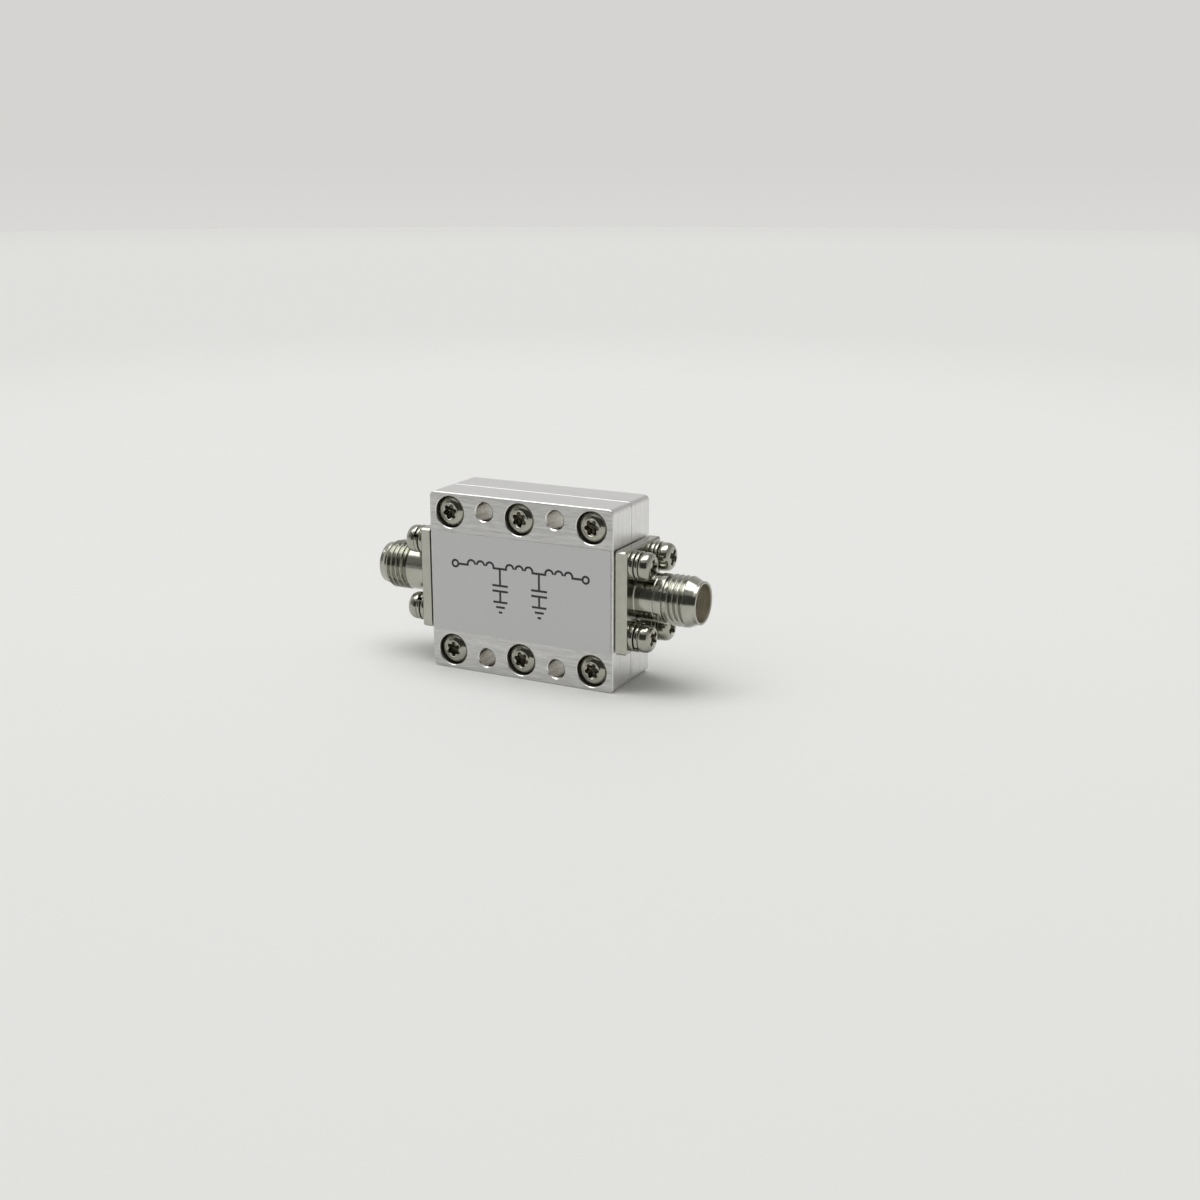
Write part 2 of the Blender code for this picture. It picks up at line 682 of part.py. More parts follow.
def jacks(steel, teflon, gold):
    """Both jacks, each with its bead and its centre contact."""
    kinds = (
        ("connector", jack_mesh(), steel),
        ("dielectric", bead_mesh(), teflon),
        ("contact", contact_mesh(), gold),
    )
    for name, mesh, material in kinds:
        round_shading(mesh)
        mesh.materials.append(material)
        for end, end_name in ((-1, "left"), (1, "right")):
            obj = new_object(f"{name}_{end_name}", mesh)
            place(obj, (end * HOUSING_END, 0, AXIS_HEIGHT), (end, 0, 0))


def disc_centres():
    """Places of the wide discs along the line."""
    pitch = DISC_LENGTH + LINK_LENGTH
    return [(index - (DISC_COUNT - 1) / 2) * pitch for index in range(DISC_COUNT)]


def inner_conductor(material):
    """The filter itself: thin links between wide discs, and an end rod bored for each tail pin."""
    rod_end = LINE_END - END_ROD_LENGTH
    rod, link = END_ROD_DIAMETER / 2, LINK_DIAMETER / 2
    profile = [(0, LINE_END), (rod, LINE_END), (rod, rod_end), (link, rod_end)]
    for centre in reversed(disc_centres()):
        top, bottom = centre + DISC_LENGTH / 2, centre - DISC_LENGTH / 2
        profile += [(link, top), (DISC_RADIUS, top), (DISC_RADIUS, bottom), (link, bottom)]
    profile += [(link, -rod_end), (rod, -rod_end), (rod, -LINE_END), (0, -LINE_END)]
    line = turned("inner_conductor", profile, LINE_SIDES, material)
    place(line, (0, 0, AXIS_HEIGHT), (1, 0, 0))
    depth = TAIL_REACH - END_ROD_SETBACK + TAIL_HOLE_EXTRA
    bore = TAIL_DIAMETER + 2 * FIT_CLEARANCE
    for end in (-1, 1):
        hole = cylinder("tail_hole", bore, depth + CUT_MARGIN, CONTACT_SIDES)
        place(hole, (end * (LINE_END + CUT_MARGIN), 0, AXIS_HEIGHT), (-end, 0, 0))
        cut(line, hole)


def sleeves(material):
    """A ring round each disc that centres it in the channel."""
    outer = CHANNEL_DIAMETER / 2 - FIT_CLEARANCE
    inner = outer - SLEEVE_WALL
    half = DISC_LENGTH / 2
    profile = [(outer, half), (outer, -half), (inner, -half), (inner, half)]
    for index, centre in enumerate(disc_centres()):
        sleeve = turned(f"sleeve_{index + 1}", profile, LINE_SIDES, material, ring=True)
        place(sleeve, (centre, 0, AXIS_HEIGHT), (1, 0, 0))


def build():
    for old in list(bpy.data.objects):
        bpy.data.objects.remove(old)
    for name in (PARTS, CUTTERS):
        fresh_collection(name)

    aluminium = finish("milled aluminium", (0.62, 0.62, 0.61), 0.42)
    steel = finish("passivated stainless steel", (0.45, 0.44, 0.40), 0.28)
    nickel = finish("nickel-plated steel", (0.50, 0.48, 0.43), 0.22)
    gold = finish("gold plate", (0.80, 0.55, 0.22), 0.25)
    teflon = finish("ptfe", (0.85, 0.85, 0.82), 0.45, metallic=0.0)
    film = finish("matte silver film", (0.37, 0.38, 0.38), 0.50, metallic=0.3)

    housing_front(aluminium)
    housing_rear(aluminium)
    label(film)
    cover_screws(nickel)
    jacks(steel, teflon, gold)
    flange_fasteners(nickel, nickel)
    inner_conductor(gold)
    sleeves(teflon)
    bpy.context.view_layer.update()


build()
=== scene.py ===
"""The looks of a coaxial low-pass filter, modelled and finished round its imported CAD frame.

Metres, +Z up. The origin is at the bottom centre of the housing, +X runs along the signal line
and -Y is the front, with the label and the cover screws.
"""
import math

import bmesh
import bpy
from mathutils import Matrix, Vector


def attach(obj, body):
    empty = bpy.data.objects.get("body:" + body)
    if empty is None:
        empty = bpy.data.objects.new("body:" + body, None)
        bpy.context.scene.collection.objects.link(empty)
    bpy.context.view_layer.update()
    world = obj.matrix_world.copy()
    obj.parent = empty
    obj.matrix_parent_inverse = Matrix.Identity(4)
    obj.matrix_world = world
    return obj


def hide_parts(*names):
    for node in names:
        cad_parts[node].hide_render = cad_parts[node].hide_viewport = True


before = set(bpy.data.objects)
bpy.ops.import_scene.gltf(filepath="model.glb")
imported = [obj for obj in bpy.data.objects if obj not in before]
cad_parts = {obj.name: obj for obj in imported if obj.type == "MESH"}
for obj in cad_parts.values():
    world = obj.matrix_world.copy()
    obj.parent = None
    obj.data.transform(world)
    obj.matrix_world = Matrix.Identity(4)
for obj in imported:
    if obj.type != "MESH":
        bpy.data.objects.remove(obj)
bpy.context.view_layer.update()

MM = 0.001

# Housing: two equal halves that meet at Y = 0
HOUSING_LENGTH = 25.4 * MM
HOUSING_HEIGHT = 22.6 * MM
HALF_DEPTH = 4.95 * MM
CORNER_RADIUS = 0.7 * MM
EDGE_BREAK = 0.095 * MM
SEAM_BREAK = 0.035 * MM
SEAM_GAP = 0.045 * MM
SEAM_INSET = 0.2 * MM
HOUSING_END = HOUSING_LENGTH / 2
AXIS_HEIGHT = HOUSING_HEIGHT / 2

# Cover screws, sunk in the front half. Turns are in degrees, and the head's outline goes by
# radius and height.
COVER_SCREW_PITCH = 9.8 * MM
COVER_SCREW_EDGE = 2.45 * MM
COVER_HEAD_HEIGHT = 2.06 * MM
COVER_HEAD_OUTLINE_MM = ((1.9, 0.0), (1.9, 1.48), (1.75, 1.68), (1.45, 1.9), (1.13, 2.02))
COVER_HEAD_RING_RADIUS = 1.09 * MM
COVER_HEAD_EASE = 0.2 * MM
COVER_SCREW_LENGTH = 5.5 * MM
COVER_SCREW_TURNS = (12, 34, 3, 28, 47, 9)
COUNTERBORE_RADIUS = 2.01 * MM
COUNTERBORE_DEPTH = 2.1 * MM
COUNTERBORE_CHAMFER = 0.08 * MM
LOBES = 6
LOBE_TIP_RADIUS = 0.98 * MM
LOBE_ROOT_RADIUS = 0.7 * MM
LOBE_FULLNESS = 1.4
LOBE_LEAD_IN = 0.05 * MM
LOBE_DEPTH = 1.25 * MM
LOBE_CONE_DEPTH = 0.25 * MM
LOBE_FLOOR_INSET = 0.3 * MM
SHANK_RADIUS = 1.0 * MM
SHANK_POINT = 0.2 * MM
TAP_RADIUS = 1.05 * MM
TAP_EXTRA_DEPTH = 0.6 * MM

# Through holes between the cover screws
MOUNT_HOLE_EDGE = 2.0 * MM
MOUNT_HOLE_RADIUS = 1.16 * MM
MOUNT_HOLE_CHAMFER = 0.14 * MM

# Label film, and the print on it
LABEL_MARGIN = 0.3 * MM
LABEL_HEIGHT = 12.7 * MM
LABEL_CORNER_RADIUS = 0.25 * MM
FILM_THICKNESS = 0.085 * MM
INK_THICKNESS = 0.01 * MM
INK_LINE = 0.27 * MM
INK_GAP = 0.01 * MM
COIL_TURN_RADIUS = 0.52 * MM
COIL_TURNS = 3
COILS = 3
COIL_LEAD = 1.5 * MM
PORT_RING_RADIUS = 0.42 * MM
PORT_LEAD = 1.1 * MM
PLATE_WIDTH = 2.2 * MM
PLATE_LEVELS = (-2.15 * MM, -2.85 * MM)
GROUND_LEVELS = (-4.25 * MM, -4.9 * MM, -5.55 * MM)
GROUND_WIDTHS = (2.0 * MM, 1.25 * MM, 0.5 * MM)
PRINT_RISE = 2.6 * MM

# Jack, measured from its back face outwards. Where a value has two numbers, they are for the
# left jack and for the right one.
FLANGE_DEPTH = 9.6 * MM
FLANGE_HEIGHT = 12.7 * MM
FLANGE_THICKNESS = 1.65 * MM
FLANGE_EDGE_BREAK = 0.2 * MM
FLANGE_BACK_BREAK = 0.03 * MM
FLANGE_SEAT = 0.24 * MM
FLANGE_SEAT_INSET = 0.7 * MM
FLANGE_SCREW_Y = 2.75 * MM
FLANGE_SCREW_Z = 4.4 * MM
FLANGE_HOLE_RADIUS = 1.15 * MM
BARREL_FILLET = 0.12 * MM
COLLAR_START = 4.1 * MM
COLLAR_GROOVE = 0.12 * MM
THREAD_START = 5.21 * MM
THREAD_PITCH = 25.4 * MM / 36
THREAD_RELIEF = 0.35 * MM
THREAD_DEPTH = 0.6134 * THREAD_PITCH
THREAD_FLANK_ANGLE = math.radians(30)
THREAD_EASE = 0.045 * MM
THREAD_SPARE_TURNS = 3
THREAD_ROOT_RISE = 0.04 * MM
THREAD_RUNOUT = 0.25 * MM
THREAD_END_SINK = 0.02 * MM
THREAD_ENDS = (8.65 * MM, 8.02 * MM)
THREAD_STARTS = (-0.5 * MM, -0.22 * MM)
CONE_START = 8.02 * MM
CONE_STAND = 0.005 * MM
NOSE_RADIUS = 2.65 * MM
NOSE_START = 9.05 * MM
NOSE_EDGE_BREAK = 0.07 * MM
JACK_LENGTH = 9.53 * MM
SOCKET_RADIUS = 2.315 * MM
SOCKET_DEPTH = 1.95 * MM
SOCKET_LEAD_IN = 0.1 * MM
TURNED_EASE = 0.04 * MM
THREAD_RADIUS = NOSE_RADIUS + THREAD_ROOT_RISE + THREAD_DEPTH
COLLAR_INSET = 0.07 * MM
COLLAR_RADIUS = THREAD_RADIUS - COLLAR_INSET
BARREL_RADII = (COLLAR_RADIUS, 2.95 * MM)

# Insulator bead and centre contact
BEAD_RADIUS = 2.05 * MM
BEAD_COLLAR_RADIUS = 2.45 * MM
BEAD_COLLAR_LENGTH = 0.8 * MM
BEAD_STEP_LENGTH = 0.7 * MM
BEAD_LENGTH = JACK_LENGTH - SOCKET_DEPTH
CONTACT_RADIUS = 0.635 * MM
CONTACT_SOCKET_RADIUS = 0.46 * MM
CONTACT_SOCKET_DEPTH = 2.6 * MM
CONTACT_SLOT_WIDTH = 0.2 * MM
CONTACT_SLOT_DEPTH = 1.8 * MM
TAIL_RADIUS = 0.38 * MM
TAIL_REACH = 2.6 * MM
FIT_CLEARANCE = 0.03 * MM

# Screws and washers on the flanges. Turns are in degrees.
PAN_HEAD_RADIUS = 1.75 * MM
PAN_HEAD_HEIGHT = 1.4 * MM
PAN_HEAD_SIDE = 0.4 * MM
PAN_HEAD_UNDERCUT = 0.16 * MM
PAN_HEAD_FACE_RADIUS = 0.7 * MM
PAN_HEAD_FULLNESS = 0.75
FLANGE_SCREW_LENGTH = 6.0 * MM
FLANGE_SCREW_TURNS = (31, 8, 52, 19, 284, 62, 220, 27)
CROSS_WIDTH = 0.8 * MM
CROSS_SPAN = 2.35 * MM
CROSS_CENTRE = 1.5 * MM
CROSS_DEPTH = 1.05 * MM
CROSS_TAPER = 0.5
WASHER_RADIUS = 1.8 * MM
WASHER_BORE_RADIUS = 1.15 * MM
WASHER_EASE = 0.14 * MM
FLAT_WASHER_THICKNESS = 0.6 * MM
SPRING_WASHER_THICKNESS = 0.45 * MM
SPRING_WASHER_LIFT = 0.2 * MM
SPRING_WASHER_GAP = 0.4 * MM
WASHER_STACK = FLAT_WASHER_THICKNESS + SPRING_WASHER_THICKNESS + SPRING_WASHER_LIFT

# Filter channel in the housing
CHANNEL_RADIUS = 2.6 * MM
ENTRY_BORE_RADIUS = 1.5 * MM
ENTRY_BORE_LENGTH = 1.5 * MM
SLEEVES = 4

# A piece's materials by number: 0 outside, and these where a drill or recess has cut it, or on
# a counterbore's wall. A counterbore's wall and a fastener's recess take colours painted darker
# as painted shade
DRILLED = 1
COUNTERBORED = 2

# How finely round forms are drawn
TURN_STEPS = 64
BORE_STEPS = 48
LOBE_STEPS = 96
ARC_STEPS = 32
CROWN_STEPS = 10
CORNER_STEPS = 10
LABEL_CORNER_STEPS = 4
EASE_STEPS = 3
EASE_SHARE = 0.45
SMOOTH_ANGLE = math.radians(32)

# How far a tool runs past what it cuts, how close points are one point, and how far down a
# face's normal points where the face looks down, or slopes down like a chamfer's
CUT_MARGIN = 0.5 * MM
WELD = 0.0005 * MM
LOOKS_DOWN = -0.99
SLOPES_DOWN = -0.3

# Most values of a noise lie in this span
NOISE_SPAN = (0.3, 0.7)

# How square to X the milled housing is where its tool lines turn upright, how square to Y it is
# where its front and back faces take a painted darker shade, and how much its coarse tool lines
# count beside the fine ones
END_FACE_SPAN = (0.6, 0.8)
FRONT_BACK_SHADE_SPAN = (0.9, 0.98)
COARSE_LINE_SHARE = 0.4


# Mesh helpers


def revolved(profile, ring=False, steps=TURN_STEPS):
    """A form turned about Z from (radius, height) points: a solid from the axis round to the
    axis, or a ring from a closed profile."""
    bm = bmesh.new()
    verts = [bm.verts.new((radius, 0, height)) for radius, height in profile]
    pairs = list(zip(verts, verts[1:]))
    if ring:
        pairs.append((verts[-1], verts[0]))
    edges = [bm.edges.new(pair) for pair in pairs]
    bmesh.ops.spin(
        bm, geom=[*verts, *edges], cent=(0, 0, 0), axis=(0, 0, 1), angle=2 * math.pi, steps=steps,
        use_merge=True,
    )
    bmesh.ops.remove_doubles(bm, verts=bm.verts[:], dist=WELD)
    bmesh.ops.recalc_face_normals(bm, faces=bm.faces[:])
    return bm


def eased(profile, ease, ring=False):
    """The profile with its corners rounded by arcs that start an ease away from each corner, or
    less on a short side."""
    points = [Vector(point) for point in profile]
    count = len(points)
    made = []
    for index, corner in enumerate(points):
        if not ring and index in (0, count - 1):
            made.append(tuple(corner))
            continue
        before, after = points[index - 1] - corner, points[(index + 1) % count] - corner
        reach = min(ease, before.length * EASE_SHARE, after.length * EASE_SHARE)
        start, end = corner + before.normalized() * reach, corner + after.normalized() * reach
        for step in range(EASE_STEPS + 1):
            t = step / EASE_STEPS
            made.append(tuple(start.lerp(corner, t).lerp(corner.lerp(end, t), t)))
    return made


def rectangle(inner, outer, height):
    """The section of a flat ring, as (radius, height) points."""
    return [(inner, 0), (outer, 0), (outer, height), (inner, height)]


def swept(section, angle, steps, rise=0.0):
    """A closed section spun part of the way round Z, with closed ends. It climbs by rise."""
    bm = bmesh.new()
    face = bm.faces.new([bm.verts.new((radius, 0, height)) for radius, height in section])
    bmesh.ops.spin(
        bm, geom=[face, *face.edges, *face.verts], cent=(0, 0, 0), axis=(0, 0, 1),
        dvec=(0, 0, rise / steps), angle=angle, steps=steps,
    )
    bmesh.ops.recalc_face_normals(bm, faces=bm.faces[:])
    return bm


def finished(bm, index):
    """Marks every face of a form with one of its piece's materials."""
    for face in bm.faces:
        face.material_index = index
    return bm


def block(size, centre=(0, 0, 0)):
    """A box, for other shapes to start from."""
    bm = bmesh.new()
    matrix = Matrix.Translation(centre) @ Matrix.Diagonal((*size, 1.0))
    bmesh.ops.create_cube(bm, size=1.0, matrix=matrix)
    return bm


def deep_edges(bm):
    """The edges of a block that run from its front to its back."""
    return [e for e in bm.edges if abs(e.verts[0].co.y - e.verts[1].co.y) > WELD]


def at_depth(parts, y):
    """Those of a block's edges or faces that lie at one depth."""
    return [part for part in parts if all(abs(v.co.y - y) < WELD for v in part.verts)]


def bevel(bm, edges, offset, segments):
    """Breaks edges with one segment, or rounds them with more."""
    bmesh.ops.bevel(
        bm, geom=edges, offset=offset, segments=segments, profile=0.5, affect="EDGES", material=-1
    )


def raised(bm, faces, inset, move):
    """Raises a face, set in from its rim, as a low pad."""
    bmesh.ops.inset_region(bm, faces=faces, thickness=inset, use_even_offset=True)
    made = bmesh.ops.extrude_face_region(bm, geom=faces)["geom"]
    bmesh.ops.delete(bm, geom=faces, context="FACES")
    bmesh.ops.translate(bm, vec=move, verts=[v for v in made if isinstance(v, bmesh.types.BMVert)])


def rod(radius, low, high, steps=BORE_STEPS):
    """A plain cylinder along Z, used to cut holes."""
    bm = bmesh.new()
    bmesh.ops.create_cone(
        bm, cap_ends=True, segments=steps, radius1=radius, radius2=radius, depth=high - low,
        matrix=Matrix.Translation((0, 0, (low + high) / 2)),
    )
    return bm


def placed(bm, location, facing, turn=0.0):
    """Moves a form so that its Z points along facing, after a turn in degrees about its own Z."""
    aim = Vector(facing).to_track_quat("Z", "Y").to_matrix().to_4x4()
    spin = Matrix.Rotation(math.radians(turn), 4, "Z")
    bmesh.ops.transform(bm, matrix=Matrix.Translation(location) @ aim @ spin, verts=bm.verts[:])
    return bm


def gathered(forms):
    """Several closed forms as one."""
    whole = bmesh.new()
    for form in forms:
        mesh = bpy.data.meshes.new("form")
        form.to_mesh(mesh)
        form.free()
        whole.from_mesh(mesh)
        bpy.data.meshes.remove(mesh)
    return whole


def loose_object(name, bm):
    """A form as an object of its own."""
    mesh = bpy.data.meshes.new(name)
    bm.to_mesh(mesh)
    bm.free()
    obj = bpy.data.objects.new(name, mesh)
    bpy.context.scene.collection.objects.link(obj)
    return obj


def combined(bm, tools, operation="DIFFERENCE"):
    """The form after each tool is cut from it, or joined to it. A cut face keeps the number of
    the material that its tool was marked with, and empty slots hold those numbers open."""
    body = loose_object("body", bm)
    helpers = [loose_object("tool", tool) for tool in tools]
    for obj in (body, *helpers):
        for _ in range(COUNTERBORED + 1):
            obj.data.materials.append(None)
    for helper in helpers:
        boolean = body.modifiers.new("boolean", "BOOLEAN")
        boolean.operation = operation
        boolean.object = helper
        boolean.solver = "EXACT"
    evaluated = body.evaluated_get(bpy.context.evaluated_depsgraph_get())
    mesh = bpy.data.meshes.new_from_object(evaluated)
    made = bmesh.new()
    made.from_mesh(mesh)
    bpy.data.meshes.remove(mesh)
    for used in [body, *helpers]:
        bpy.data.objects.remove(used)
    bmesh.ops.remove_doubles(made, verts=made.verts[:], dist=WELD)
    return made


def add_piece(name, bm, materials, slot, *nodes):
    """Makes a form a piece of the object, shown in the place of the CAD nodes it stands for."""
    piece = loose_object(name, bm)
    for material in materials:
        piece.data.materials.append(material)
    piece.data.shade_smooth()
    piece.data.set_sharp_from_angle(angle=SMOOTH_ANGLE)
    weighted = piece.modifiers.new("weighted normals", "WEIGHTED_NORMAL")
    weighted.keep_sharp = True
    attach(piece, "root")
    if nodes:
        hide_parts(*nodes)
    return piece


# Material helpers


def linear(code):
    """An sRGB hex colour as a linear RGBA."""
    channels = [int(code[at : at + 2], 16) / 255 for at in (0, 2, 4)]
    return (*[c / 12.92 if c <= 0.04045 else ((c + 0.055) / 1.055) ** 2.4 for c in channels], 1.0)


def node(tree, kind, inputs=None, **settings):
    """Adds a node. inputs gives each socket a value, or the output it is linked to."""
    made = tree.nodes.new(kind)
    for name, value in settings.items():
        setattr(made, name, value)
    for socket, value in (inputs or {}).items():
        if isinstance(value, bpy.types.NodeSocket):
            tree.links.new(value, made.inputs[socket])
        else:
            made.inputs[socket].default_value = value
    return made


def new_material(name, **sockets):
    """A material with its Principled shader's own values, and the tree and shader to add to."""
    material = bpy.data.materials.new(name)
    material.use_nodes = True
    shader = material.node_tree.nodes["Principled BSDF"]
    for socket, value in sockets.items():
        shader.inputs[socket.replace("_", " ")].default_value = value
    return material, material.node_tree, shader


def grains(tree, size, detail=2.0):
    """Noise on the piece's own coordinates. size is how long a grain is, or its three lengths
    along X, Y and Z where it is drawn out."""
    sizes = size if isinstance(size, tuple) else (size, size, size)
    coordinates = node(tree, "ShaderNodeTexCoord").outputs["Object"]
    scale = [1 / length for length in sizes]
    scaled = node(tree, "ShaderNodeMapping", {"Vector": coordinates, "Scale": scale})
    inputs = {"Vector": scaled.outputs[0], "Scale": 1.0, "Detail": detail}
    return node(tree, "ShaderNodeTexNoise", inputs).outputs["Fac"]


def fading(tree, first, second, value, span=NOISE_SPAN):
    """A colour that turns from the first to the second as a value crosses a span. Each of the
    two is a hex code or another node's output."""
    first, second = [linear(end) if isinstance(end, str) else end for end in (first, second)]
    inputs = {"Value": value, "From Min": span[0], "From Max": span[1]}
    amount = node(tree, "ShaderNodeMapRange", inputs).outputs["Result"]
    inputs = {0: amount, 6: first, 7: second}
    return node(tree, "ShaderNodeMix", inputs, data_type="RGBA").outputs[2]


def varied(tree, shader, pattern, colours=None, roughness=None, relief=None):
    """Lets a pattern vary a surface: its colour between two hex codes, its roughness between
    two values, and its relief by a strength and a depth."""
    if colours:
        tree.links.new(fading(tree, *colours, pattern), shader.inputs["Base Color"])
    if roughness:
        inputs = {"Value": pattern, "From Min": NOISE_SPAN[0], "From Max": NOISE_SPAN[1]}
        inputs.update({"To Min": roughness[0], "To Max": roughness[1]})
        amount = node(tree, "ShaderNodeMapRange", inputs).outputs["Result"]
        tree.links.new(amount, shader.inputs["Roughness"])
    if relief:
        inputs = {"Height": pattern, "Strength": relief[0], "Distance": relief[1]}
        tree.links.new(node(tree, "ShaderNodeBump", inputs).outputs[0], shader.inputs["Normal"])


# Materials


def milled_aluminium():
    """Bare 6061 aluminium, fly-cut: fine straight tool lines, along X on the long faces and
    upright on the end faces, that spread a highlight into a satin sheen. Its front and back
    faces get a darker colour: painted shade for the dark room that they reflect."""
    material, tree, shader = new_material("milled aluminium", Metallic=1.0)
    normal = node(tree, "ShaderNodeNewGeometry").outputs["Normal"]
    facing = node(tree, "ShaderNodeSeparateXYZ", {0: normal}).outputs
    to_end, front_back_shade_mask = [
        node(tree, "ShaderNodeMath", {0: facing[axis]}, operation="ABSOLUTE").outputs[0]
        for axis in "XY"
    ]
    inputs = {"Value": to_end, "From Min": END_FACE_SPAN[0], "From Max": END_FACE_SPAN[1]}
    on_end = node(tree, "ShaderNodeMapRange", inputs).outputs["Result"]
    lines = []
    # Real tool lines are about 0.05 mm apart. They are drawn at 0.07 mm and wider, to show.
    for width, length in ((0.07 * MM, 1.4 * MM), (0.3 * MM, 14 * MM)):
        along = grains(tree, (length, width, width), 3.0)
        upright = grains(tree, (width, width, length), 3.0)
        inputs = {0: on_end, 2: along, 3: upright}
        lines.append(node(tree, "ShaderNodeMix", inputs, data_type="FLOAT").outputs[0])
    fine, coarse = lines
    inputs = {0: COARSE_LINE_SHARE, 2: fine, 3: coarse}
    both = node(tree, "ShaderNodeMix", inputs, data_type="FLOAT").outputs[0]
    # Painted shade: faces that look along Y take the darker colour.
    bright = fading(tree, "dadad9", "f0efee", both)
    painted_shade = fading(tree, "b0b0ae", "e0dfdd", both)
    colour = fading(tree, bright, painted_shade, front_back_shade_mask, FRONT_BACK_SHADE_SPAN)
    tree.links.new(colour, shader.inputs["Base Color"])
    varied(tree, shader, both, roughness=(0.42, 0.30))
    varied(tree, shader, fine, relief=(0.35, 0.012 * MM))
    return material


def drilled_aluminium():
    """Bare aluminium as a drill or an end mill leaves it: smooth, with fine rings."""
    material, tree, shader = new_material("drilled aluminium", Metallic=1.0)
    rings = grains(tree, (4 * MM, 0.12 * MM, 4 * MM))
    varied(tree, shader, rings, ("d9d7d2", "eceae6"), (0.16, 0.26))
    return material


def shaded_counterbore_aluminium():
    """The wall of a counterbore: aluminium left rough by the side of an end mill, and painted
    darker as painted shade round the sunk head.
    """
    material, tree, shader = new_material("counterbore wall with painted shade", Metallic=1.0)
    rings = grains(tree, (4 * MM, 0.12 * MM, 4 * MM))
    varied(tree, shader, rings, ("98958e", "b8b5ae"), (0.42, 0.52))
    return material


def turned_steel():
    """Passivated stainless steel, turned and bright: faint rings round the line's axis and a
    slightly warm reflection."""
    material, tree, shader = new_material("passivated stainless steel", Metallic=1.0)
    rings = grains(tree, (0.07 * MM, 6 * MM, 6 * MM))
    clouds = grains(tree, 1.3 * MM, 4.0)
    varied(tree, shader, clouds, ("adada3", "b8b8ae"), (0.13, 0.22))
    varied(tree, shader, rings, relief=(0.2, 0.004 * MM))
    return material


def bored_steel():
    """The bore of a jack: the same stainless steel, reamed, a little duller than the outside."""
    material, tree, shader = new_material("reamed stainless steel", Metallic=1.0)
    rings = grains(tree, (0.1 * MM, 4 * MM, 4 * MM))
    varied(tree, shader, rings, ("a59f8f", "bab4a4"), (0.38, 0.52))
    return material


def nickel_plate():
    """Nickel-plated steel fasteners, barrel finished: bright, a little wavy, warm grey."""
    material, tree, shader = new_material("nickel-plated steel", Metallic=1.0)
    waves, nicks = grains(tree, 0.8 * MM), grains(tree, 0.15 * MM, 3.0)
    varied(tree, shader, nicks, ("a3a297", "b3b2a7"), (0.1, 0.19))
    varied(tree, shader, waves, relief=(0.25, 0.02 * MM))
    return material


def shaded_recess_metal():
    """The inside of a punched screw recess: dull nickel, painted dark as painted shade, so that the
    recess reads as a hole."""
    material, tree, shader = new_material("punched recess with painted shade", Metallic=1.0)
    shade_mottle = grains(tree, 0.25 * MM, 3.0)
    varied(tree, shader, shade_mottle, ("817d71", "aca89c"), (0.2, 0.35))
    return material


def gold_plate():
    """Hard gold over nickel on beryllium copper: a deep yellow with fine turning rings."""
    material, tree, shader = new_material("hard gold plate", Metallic=1.0)
    rings = grains(tree, (0.05 * MM, 5 * MM, 5 * MM))
    varied(tree, shader, rings, ("d9a94e", "e6bb66"), (0.2, 0.3))
    return material


def label_film():
    """Matte silver polyester film: an even light grey with the faintest grain."""
    material, tree, shader = new_material("matte silver polyester film", Metallic=0.0)
    grain = grains(tree, 0.12 * MM)
    varied(tree, shader, grain, ("bcbdbd", "c1c2c2"), (0.42, 0.5))
    return material


def thermal_ink():
    """Black resin print from a ribbon: thin, flat and slightly glossy."""
    material, tree, shader = new_material("black resin print", Roughness=0.4)
    varied(tree, shader, grains(tree, 0.06 * MM, 1.0), ("1a1a1c", "2b2b2e"))
    return material


def ptfe():
    """White PTFE, machined: waxy, soft white, with a little light going in."""
    material, tree, shader = new_material(
        "machined ptfe", Roughness=0.45, IOR=1.38, Subsurface_Weight=0.2, Subsurface_Scale=0.5 * MM
    )
    varied(tree, shader, grains(tree, 0.6 * MM), ("e6e5e0", "f0efeb"))
    return material


# Housing


def cover_screw_places():
    """Where the cover screws sit, as X and Z, row by row from the top left."""
    rows = (HOUSING_HEIGHT - COVER_SCREW_EDGE, COVER_SCREW_EDGE)
    return [(column * COVER_SCREW_PITCH, z) for z in rows for column in (-1, 0, 1)]


def mount_hole_places():
    """Where the through holes are, midway between the cover screws' columns."""
    rows = (HOUSING_HEIGHT - MOUNT_HOLE_EDGE, MOUNT_HOLE_EDGE)
    return [(side * COVER_SCREW_PITCH / 2, z) for z in rows for side in (-1, 1)]


def housing_block(side):
    """One half before drilling: round corners, a broken outer edge and a finer one at the seam,
    where the halves meet on a face set in from their sides, which leaves a thin dark line."""
    depth = HALF_DEPTH - SEAM_GAP
    middle = side * (HALF_DEPTH + SEAM_GAP) / 2
    bm = block((HOUSING_LENGTH, depth, HOUSING_HEIGHT), (0, middle, AXIS_HEIGHT))
    bevel(bm, deep_edges(bm), CORNER_RADIUS, CORNER_STEPS)
    bevel(bm, at_depth(bm.edges, side * HALF_DEPTH), EDGE_BREAK, 1)
    bevel(bm, at_depth(bm.edges, side * SEAM_GAP), SEAM_BREAK, 1)
    raised(bm, at_depth(bm.faces, side * SEAM_GAP), SEAM_INSET, (0, -side * SEAM_GAP, 0))
    return bm


def channel():
    """The round channel of the filter line, with a narrow entry at each end."""
    inner_end, outer_end = HOUSING_END - ENTRY_BORE_LENGTH, HOUSING_END + CUT_MARGIN
    entry = [(ENTRY_BORE_RADIUS, inner_end), (ENTRY_BORE_RADIUS, outer_end)]
    half = [(CHANNEL_RADIUS, inner_end), *entry]
    mirrored = [(radius, -height) for radius, height in reversed(half)]
    profile = [(0, -outer_end), *mirrored, *half, (0, outer_end)]
    return placed(revolved(profile), (0, 0, AXIS_HEIGHT), (1, 0, 0))


